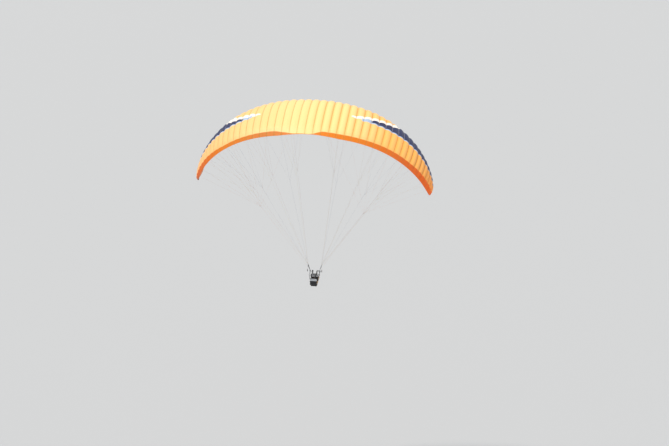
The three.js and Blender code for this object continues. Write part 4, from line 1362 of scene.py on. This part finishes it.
brake_handles = {}
for side, side_name in SIDES:
    top = at_pulley(side, -PULLEY_RADIUS - BRAKE_DROP)
    near = [top + Vector((0, y * HANDLE_WIDTH / 2, z)) for y, z in HALF_LOOP]
    far = [top + Vector((0, -y * HANDLE_WIDTH / 2, z)) for y, z in reversed(HALF_LOOP[:-1])]
    path = smooth_path(near + far, 4)
    loop_name = f"brake_handle_loop_{side_name}"
    loop = strap(loop_name, path, (1, 0, 0), *HANDLE_WEBBING, handle_weave)
    knob = rod(KNOB_RADIUS, KNOB_LENGTH, top - Vector((0, 0, KNOB_LENGTH / 2)))
    pick_faces(shaping(knob), lambda f: f.normal.z > 0.9)
    bpy.ops.transform.resize(value=(0.78, 0.78, 1), center_override=top)
    bpy.ops.mesh.inset(thickness=0.0025, depth=-0.002)
    bpy.ops.object.mode_set(mode="OBJECT")
    finish_piece(knob, 35)
    grip_at = top - Vector((0, 0, GRIP_DROP))
    grip = rod(GRIP_RADIUS, GRIP_LENGTH, grip_at, ALONG_Y)
    shaping(grip)
    for i, width in ((-2, 0.9), (-1, 1.14), (1, 1.14), (2, 0.9)):
        at = grip_at + Vector((0, i * FINGER_PITCH, 0))
        cut(at, (0, 1, 0))
        bpy.ops.transform.resize(value=(width, 1, width), center_override=at)
    bpy.ops.object.mode_set(mode="OBJECT")
    bevelled(grip, 0.0016)
    finish_piece(grip, 40)
    grip = merged(f"brake_grip_{side_name}", [grip, knob])
    dress(grip, plastic)
    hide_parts(f"brake_handle_{side_name}")
    for piece in (loop, grip):
        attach(piece, f"brake_{side_name}")
    brake_handles[side_name] = loop
print("brake handle:", len(brake_handles["left"].data.polygons), "faces")

# %% [markdown]
# ## Padded harness shells
# The seat and back of a harness are one soft shell: foam between two layers of strong cloth, sewn
# round the edge and across. Its flat pattern is a cage here: a block for the seat, whose rear end is
# extruded upwards step by step for the back and drawn in towards the shoulders. The cage is then
# remeshed to small even squares and blown up a little by a cloth simulation, which pulls the sides
# in between the corners as stuffing does. Both harnesses have the same cut, so it is made once.

# %% Harness cage
PILOT_HANG = Vector((0, -0.24, -0.03 - HANG_DEPTH))
PASSENGER_HANG = Vector((0, 0.24, -0.07 - HANG_DEPTH))
# all places are from the hang point
SEAT_HALF_WIDTH, SEAT_FRONT, SEAT_REAR, SEAT_FOLD = 0.196, 0.122, -0.262, -0.05
SEAT_TOP, SEAT_BOTTOM, REAR_RISE = -0.4515, -0.503, 0.006
BACK_FRONT = -0.216
FRONT_TUCK = (0, -0.030, 0.004)
# y and z of the middle of the back, half its width and half its thickness
BACK_STEPS = [
    (-0.243, -0.400, 0.196, 0.024), (-0.256, -0.300, 0.190, 0.021), (-0.267, -0.210, 0.184, 0.020),
    (-0.276, -0.130, 0.172, 0.018), (-0.283, -0.070, 0.150, 0.016), (-0.286, -0.044, 0.128, 0.012),
]

unselect()
bpy.ops.mesh.primitive_cube_add(size=1, location=(0, 0, 0))
shell = bpy.context.object
shell.name = "pilot_harness_shell"
mesh = shaping(shell)
for v in mesh.verts:
    is_right, is_front, is_top = (c > 0 for c in v.co)
    v.co = Vector((
        SEAT_HALF_WIDTH * (1 if is_right else -1),
        SEAT_FRONT if is_front else SEAT_REAR,
        SEAT_TOP if is_top else SEAT_BOTTOM + (0 if is_front else REAR_RISE),
    ))
for y in (BACK_FRONT, SEAT_FOLD):
    cut((0, y, 0), (0, 1, 0))
mesh = bmesh.from_edit_mesh(shell.data)
pick_faces(mesh, lambda f: f.normal.z > 0.9 and f.calc_center_median().y < BACK_FRONT)
for y, z, half_width, half_thick in BACK_STEPS:
    bpy.ops.mesh.extrude_region_move()
    mesh = bmesh.from_edit_mesh(shell.data)
    corners = [v for v in mesh.verts if v.select]
    middle = sum(v.co.y for v in corners) / len(corners)
    for v in corners:
        deep = half_thick if v.co.y > middle else -half_thick
        v.co = Vector((half_width * (1 if v.co.x > 0 else -1), y + deep, z))
    bmesh.update_edit_mesh(shell.data)
pick_points(bmesh.from_edit_mesh(shell.data), lambda v: v.co.y > 0.1 and v.co.z < -0.49)
bpy.ops.transform.translate(value=FRONT_TUCK)
bpy.ops.mesh.select_all(action="SELECT")
bpy.ops.mesh.normals_make_consistent(inside=False)
bpy.ops.object.mode_set(mode="OBJECT")
bevelled(shell, 0.012, 3)
finish_piece(shell, 60)
print("harness cage:", len(shell.data.polygons), "faces, size", [round(v, 3) for v in shell.dimensions])

# %% [markdown]
# ## Stuffing by air pressure
# The cage's mesh is too uneven for cloth, so it is remeshed to even squares first. The pressure is
# low and the simulation short, and no point may move further than a cap of some millimetres, so
# the swollen shape stays close to the frame's.


# %% Inflate
VOXEL, PRESSURE = 0.0075, 3.0
SHELL_SWELL, CONTAINER_SWELL = 0.009, 0.006


def inflate(piece, cap, frames=16):
    """Remeshes a closed soft shape to even squares and puffs it with a short cloth simulation."""
    choose(piece)
    even = piece.modifiers.new("even", "REMESH")
    even.mode, even.voxel_size = "VOXEL", VOXEL
    bpy.ops.object.modifier_apply(modifier="even")
    start = table(piece.data.vertices)
    soft = piece.modifiers.new("soft", "CLOTH")
    soft.settings.use_pressure = True
    soft.settings.uniform_pressure_force = PRESSURE
    soft.settings.quality = 4
    soft.settings.effector_weights.gravity = 0
    soft.point_cache.frame_end = frames
    scene = bpy.context.scene
    for frame_number in range(1, frames + 1):
        scene.frame_set(frame_number)
    puffed = piece.evaluated_get(bpy.context.evaluated_depsgraph_get())
    move = table(puffed.data.vertices) - start
    piece.modifiers.remove(soft)
    scene.frame_set(1)
    far = np.maximum(np.linalg.norm(move, axis=1, keepdims=True), 1e-9)
    move *= np.minimum(1, cap / far)
    piece.data.vertices.foreach_set("co", (start + move).ravel())
    piece.data.update()
    print(piece.name, "puffed by up to", round(float(far.max()) * 1000, 1), "mm, kept under", cap * 1000)


inflate(shell, SHELL_SWELL)
print("shell:", len(shell.data.vertices), "points")

# %% [markdown]
# ## Sewn channels
# Seams come after the puffing, because remeshing would wipe them out. Each one pulls the cloth in
# along a line, so every point near a line moves inwards against its normal, by a few millimetres,
# and the foam between the lines keeps its crown.

# %% Channels of the shell
CHANNEL_DEPTH, CHANNEL_REACH = 0.0065, 0.012


def sew_channels(piece, lines):
    """Pulls the cloth in along lines: each is (axis index, place, lowest corner, highest corner)."""
    co, normal = table(piece.data.vertices), table(piece.data.vertices, "normal")
    pull = np.zeros(len(co))
    for axis, place, low, high in lines:
        inside = np.all((co > np.array(low)) & (co < np.array(high)), axis=1)
        away = np.abs(co[:, axis] - place) / CHANNEL_REACH
        pull = np.maximum(pull, np.where(inside, np.exp(-away * away), 0))
    co -= normal * (pull * CHANNEL_DEPTH)[:, None]
    piece.data.vertices.foreach_set("co", co.ravel())
    keep(piece, "seam", pull)
    piece.data.update()
    dress(piece, shell_cloth)
    return pull


def soften(piece):
    """Halves the squares of a soft piece once, which rounds it, and finishes it."""
    fine = piece.modifiers.new("fine", "SUBSURF")
    fine.levels = fine.render_levels = 1
    return finish_piece(piece, 180)


# lowest and highest corner of the parts of the shell where channels run
BACK = (-0.3, -0.35, -0.42), (0.3, -0.2, -0.02)
BACK_SIDES = (-0.3, -0.35, -0.375), (0.3, -0.2, -0.07)
SEAT_UNDERSIDE = (-0.3, -0.27, -0.55), (0.3, 0.2, -0.47)

pull = sew_channels(shell, [
    (2, -0.375, *BACK), (2, -0.215, *BACK), (2, -0.135, *BACK),
    (0, -0.100, *BACK_SIDES), (0, 0.100, *BACK_SIDES),
    (0, -0.110, *SEAT_UNDERSIDE), (0, 0.110, *SEAT_UNDERSIDE), (1, -0.150, *SEAT_UNDERSIDE),
])
soften(shell)
shell.data.transform(Matrix.Translation(PILOT_HANG))
print("channels pull in", int((pull > 0.5).sum()), "points; shell now", len(shell.data.polygons), "faces")

# %% [markdown]
# ## Pale bands across the back
# In the photograph two pale bands cross the upper back of the harness: wide tape, backed with thin
# foam. Laid by hand they would stand off the shell somewhere, so each is cut from a copy of the
# shell itself with three planes, and gets its thickness outwards. It then lies in every fold.

# %% Back bands
BACK_BANDS = [(-0.205, -0.142), (-0.125, -0.066)]
BAND_THICKNESS, BAND_ROUNDING, BACK_DEPTH = 0.0045, 0.0012, 0.302
# a place in the middle of the back's padding, and the direction that its front faces
BACK_MIDDLE, BACK_FACING = (0, -0.274, -0.130), (0, 0.14, 0.016)

bands = []
for low, high in BACK_BANDS:
    tape = copy_of(shell, "back_band", Matrix())
    shaping(tape)
    cuts = (((0, 0, high), (0, 0, 1)), ((0, 0, low), (0, 0, -1)), (BACK_MIDDLE, BACK_FACING))
    for through, towards in cuts:
        cut(PILOT_HANG + Vector(through), towards, clear_outer=True)
    bpy.ops.object.mode_set(mode="OBJECT")
    backing = tape.modifiers.new("backing", "SOLIDIFY")
    backing.thickness, backing.offset = BAND_THICKNESS, 1
    bevelled(tape, BAND_ROUNDING, 2, 60)
    finish_piece(tape, 50)
    place = table(tape.data.vertices) - np.array(PILOT_HANG)
    round_side = np.clip(place[:, 1] + BACK_DEPTH, 0, None) * np.sign(place[:, 0])
    keep(tape, "along", place[:, 0] + round_side)
    keep(tape, "side", 2 * (place[:, 2] - low) / (high - low) - 1)
    dress(tape, band_weave)
    bands.append(tape)
back_bands = merged("pilot_back_bands", bands)
print("back bands:", len(back_bands.data.polygons), "faces")

# %% [markdown]
# ## Harness straps
# The main strap carries the seat from the carabiner, a thinner one holds the back, and the shoulder
# strap runs over from the back to the carabiner. The places are those of the frame's webbing, with
# smooth paths between them, so each strap stays where the frame has it.

# %% Straps of the pilot's harness
AT_SHELL, LOOP_Z, CHEST_Z = 0.2023, -0.066, -0.260
# width and thickness of each strap
MAIN, REAR, HANG_LOOP = (0.040, 0.0034), (0.027, 0.0030), (0.018, 0.0032)
SHOULDER, SHOULDER_PAD = (0.036, 0.0028), (0.054, 0.0095)
THIGH, CHEST = (0.037, 0.0030), (0.029, 0.0028)
SEWN_THICK, SEWN_LENGTH, HANG_BEND = 0.0072, 0.055, 0.0068


def on_side(side, places):
    """Places of one side of the pilot's harness, from the hang point."""
    return [PILOT_HANG + Vector((side * x, y, z)) for x, y, z in places]


def stitched_end(start, along, across, width):
    """A short second layer where webbing is sewn back on itself."""
    along = Vector(along).normalized() * SEWN_LENGTH
    path = [start, start + along * 0.33, start + along * 0.66, start + along]
    return strap("sewn_end", path, across, width * 0.94, SEWN_THICK)


webbing, shoulders, leg_straps = {}, {}, {}
for side, side_name in SIDES:
    loop_at = PILOT_HANG + Vector((side * HANG_HALF_WIDTH, 0, LOOP_Z))
    main_path = on_side(side, [
        (0.2500, 0, -0.0735), (0.2262, 0.007, -0.240), (AT_SHELL + 0.0012, 0.014, -0.405),
        (AT_SHELL, 0.015, -0.440), (AT_SHELL, 0.016, -0.488),
    ])
    rear_path = on_side(side, [
        (0.2500, 0, -0.0735), (0.2290, -0.098, -0.127), (0.2055, -0.198, -0.181),
        (0.1990, -0.258, -0.214), (0.1915, -0.2930, -0.232), (0.1700, -0.3045, -0.240),
        (0.1460, -0.3065, -0.246),
    ])
    lying = np.interp(np.linspace(0, 6, 37), (0, 3, 5, 6), (0.5, 0.5, 0, 0))
    rear_across = [Vector((0, f, 1)) for f in lying]
    parts = [
        strap("main", smooth_path(main_path), (0, 1, 0), *MAIN),
        strap("rear", smooth_path(rear_path), rear_across, *REAR),
        strap("loop", around(loop_at, HANG_BEND, -90, 270, 18), (1, 0, 0), *HANG_LOOP),
        stitched_end(main_path[0], main_path[1] - main_path[0], (0, 1, 0), MAIN[0]),
    ]
    webbing[side_name] = merged(f"pilot_side_webbing_{side_name}", parts)
    over_path = smooth_path(on_side(side, [
        (0.098, -0.284, -0.085), (0.108, -0.268, 0.018), (0.110, -0.190, 0.077),
        (0.122, -0.096, 0.063), (0.168, -0.020, -0.018), (0.236, 0, -0.148),
    ]))
    twist = [Vector((1, 0, 0))] * 19 + [Vector((1 - f * 0.75, f, 0)) for f in np.linspace(0, 1, 12)]
    over = strap("over", over_path, twist, *SHOULDER)
    pad_path = [p + Vector((0, 0, 0.001)) for p in over_path[4:24]]
    pad = strap("pad", pad_path, (1, 0, 0), *SHOULDER_PAD, pad_cloth)
    shoulders[side_name] = merged(f"pilot_shoulder_strap_{side_name}", [over, pad])
    leg_path = smooth_path(on_side(side, [
        (0.060, 0.1245, -0.490), (0.060, 0.1335, -0.4496), (0.092, 0.1550, -0.392),
        (0.150, 0.1090, -0.344), (0.196, 0.058, -0.326), (0.221, 0.026, -0.319),
    ]))
    flat_turn = np.interp(np.linspace(0, 5, 31), range(6), [0, 0, 0.25, 0.6, 0.85, 1])
    across = [Vector((side * (1 - f), 0, f)) for f in flat_turn]
    leg_straps[side_name] = strap(f"pilot_thigh_strap_{side_name}", leg_path, across, *THIGH)
chest_path = [PILOT_HANG + Vector((x, y, CHEST_Z + z)) for x, y, z in (
    (-0.220, 0.013, 0.001), (-0.190, 0.040, -0.003), (-0.100, 0.072, -0.006), (0, 0.084, -0.008),
    (0.100, 0.072, -0.006), (0.190, 0.040, -0.003), (0.220, 0.013, 0.001),
)]
chest = strap("pilot_chest_webbing", smooth_path(chest_path), (0, 0, 1), *CHEST)
strap_pieces = [chest, *webbing.values(), *shoulders.values(), *leg_straps.values()]
print("harness straps:", sum(len(o.data.polygons) for o in strap_pieces), "faces")

# %% [markdown]
# ## Buckles
# The chest and thigh straps close with pressed steel buckles: a frame with a tongue plate. One is
# made from a block whose front is inset and pushed in twice, which leaves a rim, a slot and a
# tongue, and its edges are rounded by a bevel.

# %% Buckle, modelled once
BUCKLE_SIZE, BUCKLE_ROUNDING = (0.046, 0.009, 0.040), 0.0012
# width and depth of each inset: the rim, the slot's wall, the slot, and the tongue's wall
BUCKLE_INSETS = ((0.0045, 0), (0.0012, -0.0026), (0.0050, 0), (0.0012, 0.0020))

unselect()
bpy.ops.mesh.primitive_cube_add(size=1, location=(0, 0, 0))
buckle = bpy.context.object
mesh = shaping(buckle)
for v in mesh.verts:
    v.co = Vector(c * size for c, size in zip(v.co, BUCKLE_SIZE))
for facing in (1, -1):
    mesh = bmesh.from_edit_mesh(buckle.data)
    pick_faces(mesh, lambda f: f.normal.y * facing > 0.9 and f.calc_area() > 0.001)
    for thickness, depth in BUCKLE_INSETS:
        bpy.ops.mesh.inset(thickness=thickness, depth=depth)
bpy.ops.object.mode_set(mode="OBJECT")
bevelled(buckle, BUCKLE_ROUNDING, 2, 40)
finish_piece(buckle, 40)
dress(buckle, steel)


def placed(source, name, place, forward, up=(0, 0, 1)):
    """A copy with its own mesh, moved to a place with its +Y turned forward."""
    y = Vector(forward).normalized()
    x = y.cross(Vector(up)).normalized()
    turned = Matrix((x, y, x.cross(y))).transposed().to_4x4()
    return copy_of(source, name, Matrix.Translation(place) @ turned)


chest_at = PILOT_HANG + Vector((0, 0.0855, CHEST_Z - 0.008))
chest_buckle = placed(buckle, "chest_part", chest_at, (0, 1, 0))
leg_buckles = [
    placed(
        buckle, "leg_part", PILOT_HANG + Vector((side * 0.172, 0.0885, -0.3345)),
        (side * 0.62, 0.76, 0.1), (-side * 0.2, 0, 1),
    ) for side in (-1, 1)
]
buckles = merged("pilot_buckles", [chest_buckle, *leg_buckles])
bpy.data.objects.remove(buckle)
print("buckles:", len(buckles.data.polygons), "faces")

# %% [markdown]
# ## Reserve container
# Under the pilot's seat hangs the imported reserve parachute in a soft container, closed by flaps
# with a bright handle at the side. A bevelled block is puffed like the shell, the flap edges are
# sewn in as channels, and the handle is a strap loop laid on its right side.

# %% Container and its handle
CONTAINER = Vector((0, -0.060, -0.5655))
CONTAINER_SIZE, CONTAINER_ROUNDING, GRAB = (0.320, 0.268, 0.088), 0.030, (0.016, 0.0034)

unselect()
bpy.ops.mesh.primitive_cube_add(size=1, location=CONTAINER)
container = bpy.context.object
container.name = "pilot_reserve_bag"
shaping(container)
bpy.ops.mesh.select_all(action="SELECT")
bpy.ops.transform.resize(value=CONTAINER_SIZE, center_override=CONTAINER)
bpy.ops.object.mode_set(mode="OBJECT")
bpy.ops.object.transform_apply(location=True, rotation=True, scale=True)
bevelled(container, CONTAINER_ROUNDING, 4)
finish_piece(container, 60)
inflate(container, CONTAINER_SWELL)
low, high = CONTAINER - Vector((0.2, 0.2, 0.2)), CONTAINER + Vector((0.2, 0.2, 0.2))
under = Vector((high.x, high.y, CONTAINER.z - 0.02))
sew_channels(container, [
    (0, CONTAINER.x - 0.055, low, under), (0, CONTAINER.x + 0.055, low, under),
    (1, CONTAINER.y, low, under), (2, CONTAINER.z + 0.020, low, high),
])
soften(container)
grab_path = [
    CONTAINER + Vector((0.1645, y, z)) for y, z in (
        (-0.050, 0.012), (-0.055, -0.004), (-0.036, -0.018), (0, -0.021), (0.036, -0.018),
        (0.055, -0.004), (0.050, 0.012),
    )
]
grab = strap("pilot_reserve_handle", smooth_path(grab_path, 4), (1, 0, 0), *GRAB, red_weave)
for piece in (container, grab):
    piece.data.transform(Matrix.Translation(PILOT_HANG))
print("reserve bag:", len(container.data.polygons), "faces")

# %% [markdown]
# ## The passenger's harness
# It has the same cut, so every piece but the reserve is copied with its own mesh and moved to the
# front carabiners. Then each piece is told which part of the frame it rides on and replaces.

# %% Copies, riding and padding
# the frame's pieces that each piece stands for, and its slot
pilot_pieces = {
    "shell": (shell, ["seat_shell"], "harness_fabric"),
    "bands": (back_bands, [], "harness_webbing"),
    "web_left": (webbing["left"], ["webbing_left"], "harness_webbing"),
    "web_right": (webbing["right"], ["webbing_right"], "harness_webbing"),
    "over_left": (shoulders["left"], [], "harness_webbing"),
    "over_right": (shoulders["right"], [], "harness_webbing"),
    "leg_left": (leg_straps["left"], ["leg_strap_left"], "harness_webbing"),
    "leg_right": (leg_straps["right"], ["leg_strap_right"], "harness_webbing"),
    "chest": (chest, ["chest_strap"], "harness_webbing"),
    "buckles": (buckles, [], "forged_alloy"),
}
harness = {"pilot": {}, "passenger": {}}
for key, (piece, nodes, slot_name) in pilot_pieces.items():
    name = piece.name.replace("pilot", "passenger")
    twin = copy_of(piece, name, Matrix.Translation(PASSENGER_HANG - PILOT_HANG))
    for who, owned in (("pilot", piece), ("passenger", twin)):
        harness[who][key] = owned
        if nodes:
            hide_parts(*(f"{who}_{node}" for node in nodes))
        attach(owned, f"{who}_harness")
for piece in (container, grab):
    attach(piece, "pilot_harness")
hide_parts("pilot_reserve_container")
print("harness pieces:", len(harness["pilot"]) + len(harness["passenger"]) + 2)

# %% [markdown]
# ## Carabiner bodies
# A carabiner is forged from round bar, bent to a long ring. A curve swept round would do, but its
# ends would have to be joined. A small torus has just the bend that each corner needs, so its two
# halves are moved apart sideways, and then its upper and lower half, and straight rods are left
# between the four corners. The spine, which bears the load, is a little thicker than the gate rod.

# %% Carabiner body
BEND_STEPS = 32
SPINE_GAIN = 1.10


def carabiner_body(half_width, height, corner, rod_radius):
    """A long ring of round bar in the XZ plane, round the origin, with its spine at -X."""
    unselect()
    bpy.ops.mesh.primitive_torus_add(
        major_segments=BEND_STEPS, minor_segments=16, major_radius=corner, minor_radius=rod_radius,
        location=(0, 0, 0), rotation=(0, 0, math.pi / BEND_STEPS),
    )
    body = bpy.context.object
    bpy.ops.object.transform_apply(location=True, rotation=True, scale=True)
    body.rotation_euler = (math.pi / 2, 0, 0)
    bpy.ops.object.transform_apply(location=True, rotation=True, scale=True)
    for axis, reach in ((0, half_width - corner), (2, height / 2 - corner)):
        for sign in (-1, 1):
            pick_points(shaping(body), lambda v: v.co[axis] * sign > 0)
            move = Vector()
            move[axis] = sign * reach
            bpy.ops.transform.translate(value=move)
            bpy.ops.object.mode_set(mode="OBJECT")
    straight = height / 2 - corner * 0.9
    pick_points(shaping(body), lambda v: v.co.x < corner - half_width and abs(v.co.z) < straight)
    bpy.ops.transform.resize(value=(SPINE_GAIN, SPINE_GAIN, 1), center_override=(-half_width, 0, 0))
    bpy.ops.object.mode_set(mode="OBJECT")
    dress(body, forged)
    return finish_piece(body, 60)


print("a bend of", BEND_STEPS // 4, "steps at each corner, a spine", SPINE_GAIN, "times as thick")

# %% [markdown]
# ## Carabiner gates
# The frame has each carabiner as a closed ring. The real one opens at a gate, which a threaded
# sleeve with a knurled band locks, and which turns on a rivet. A cylinder is cut in three by two
# planes, the faces of its middle are inset one by one and pushed out for the knurl, and its rims
# are bevelled. It is made once for each rod size and copied to the outer rod of every carabiner.


# %% Gate sleeve
SLEEVE_WALL, SLEEVE_LENGTHS, RIVET_RADIUS = 0.0024, 5.4, 0.0019


def gate_sleeve(radius, length):
    """A knurled locking sleeve round the Z axis, with a rivet below it."""
    sleeve = rod(radius, length, vertices=24)
    shaping(sleeve)
    for height in (-length * 0.24, length * 0.24):
        cut((0, 0, height), (0, 0, 1))
    mesh = bmesh.from_edit_mesh(sleeve.data)
    pick_faces(mesh, lambda f: abs(f.normal.z) < 0.5 and abs(f.calc_center_median().z) < length * 0.1)
    bpy.ops.mesh.inset(thickness=0.0003, depth=0.0005, use_individual=True)
    mesh = bmesh.from_edit_mesh(sleeve.data)
    pick_faces(mesh, lambda f: abs(f.normal.z) > 0.9 and len(f.verts) > 8)
    bpy.ops.mesh.inset(thickness=0.0010, depth=0.0006)
    bpy.ops.object.mode_set(mode="OBJECT")
    finish_piece(sleeve, 25)
    dress(sleeve, sleeve_metal)
    rivet = rod(RIVET_RADIUS, 2 * radius * 0.86, (0, 0, -length * 0.85), ALONG_Y, 12)
    pick_faces(shaping(rivet), lambda f: abs(f.normal.y) > 0.9)
    bpy.ops.mesh.inset(thickness=0.0006, depth=0.0004)
    bpy.ops.object.mode_set(mode="OBJECT")
    finish_piece(rivet, 35)
    dress(rivet, steel)
    return merged("gate_sleeve", [sleeve, rivet])


# carabiner, body that it rides on, y and z of its middle, then half width, height, corner and rod radius
CARABINERS = [
    ("main", "wing", 0, 0.038, 0.017, 0.076, 0.008, 0.0050),
    ("pilot", "pilot_harness", -0.24, -0.063, 0.016, 0.066, 0.006, 0.0045),
    ("passenger", "passenger_harness", 0.24, -0.103, 0.016, 0.066, 0.006, 0.0045),
]
gates = []
for who, carrier, y, z, half_width, height, corner, rod_radius in CARABINERS:
    gate_model = gate_sleeve(rod_radius + SLEEVE_WALL, rod_radius * SLEEVE_LENGTHS)
    body_model = carabiner_body(half_width, height, corner, rod_radius)
    for side, side_name in SIDES:
        middle = Vector((side * HANG_HALF_WIDTH, y, z - HANG_DEPTH))
        gate = placed(gate_model, f"{who}_carabiner_gate_{side_name}", middle, (0, side, 0))
        gate.data.transform(Matrix.Translation((side * half_width, 0, 0)))
        body = placed(body_model, f"{who}_carabiner_body_{side_name}", middle, (0, side, 0))
        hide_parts(f"{who}_carabiner_{side_name}")
        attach(body, carrier)
        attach(gate, carrier)
        gates.append(gate)
    bpy.data.objects.remove(gate_model)
    bpy.data.objects.remove(body_model)
faces = len(body.data.polygons), len(gate.data.polygons)
print("carabiners:", len(gates), "with", *faces, "faces in body and gate")

# %% [markdown]
# ## Finish of the frame's own pieces
# Spreader bars, boards and main lines keep the frame's shape, so they only get their materials here.

# %% Frame pieces
FINISHES = [
    ("stay_a", sheaths["a"]), ("stay_b", sheaths["b"]), ("stay_c", sheaths["c"]),
    ("brake_main", sheaths["brake"]), ("spreader", plate),
    ("pilot_seat_board", plywood), ("passenger_seat_board", plywood),
]
dressed = []
for name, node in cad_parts.items():
    for start, material in FINISHES:
        if name.startswith(start):
            dress(node, material)
            dressed.append(name)
print("dressed:", len(dressed), "pieces of the frame")

# %% [markdown]
# ## Floor and light
# The photograph was taken in the air, over haze. A plain pale floor far below and a pale sky of
# the same tone stand in for it, so nothing but the paraglider shows. The light is one soft sun,
# high on the left of the wing and a little behind it, as the bright left slopes of the cells in
# the photograph say. A weak, wide lamp from the right and the pale sky fill the shade.

# %% Floor and light
FLOOR_SIZE, FLOOR_DEPTH, SKY_STRENGTH = 4000, 24, 0.80
# azimuth and elevation, strength, how wide the lamp looks in degrees, and its tint
LAMPS = {"key": (105, 63, 3.0, 6, "#FFF6E6"), "fill": (-90, 30, 0.75, 40, "#FFF2E0")}

unselect()
bpy.ops.mesh.primitive_plane_add(size=FLOOR_SIZE, location=(0, 0, -FLOOR_DEPTH))
floor = bpy.context.object
floor.name = "floor"
ground, tree, out = blank_material("pale_studio_floor")
surfaced(tree, out, {"Base Color": paint("#A8ACB2"), "Roughness": 0.9})
dress(floor, ground)

world = bpy.data.worlds.new("studio")
bpy.context.scene.world = world
world.use_nodes = True
sky = world.node_tree.nodes["Background"].inputs
sky["Color"].default_value = paint("#F2F4F7")
sky["Strength"].default_value = SKY_STRENGTH


def lamp(name, azimuth, elevation, strength, spread, tint):
    """A distant soft lamp; azimuth 0 shines from straight ahead of the wing, 90 from its left."""
    data = bpy.data.lights.new(name, "SUN")
    data.energy, data.angle, data.color = strength, math.radians(spread), paint(tint)[:3]
    light = bpy.data.objects.new(name, data)
    a, e = math.radians(azimuth), math.radians(elevation)
    source = Vector((-math.sin(a) * math.cos(e), math.cos(a) * math.cos(e), math.sin(e)))
    light.rotation_euler = source.to_track_quat("Z", "Y").to_euler()
    bpy.context.scene.collection.objects.link(light)


for name, values in LAMPS.items():
    lamp(name, *values)
bpy.context.scene.view_settings.view_transform = "Standard"
print("lamps:", list(LAMPS), "over a floor", FLOOR_DEPTH, "m below the wing")
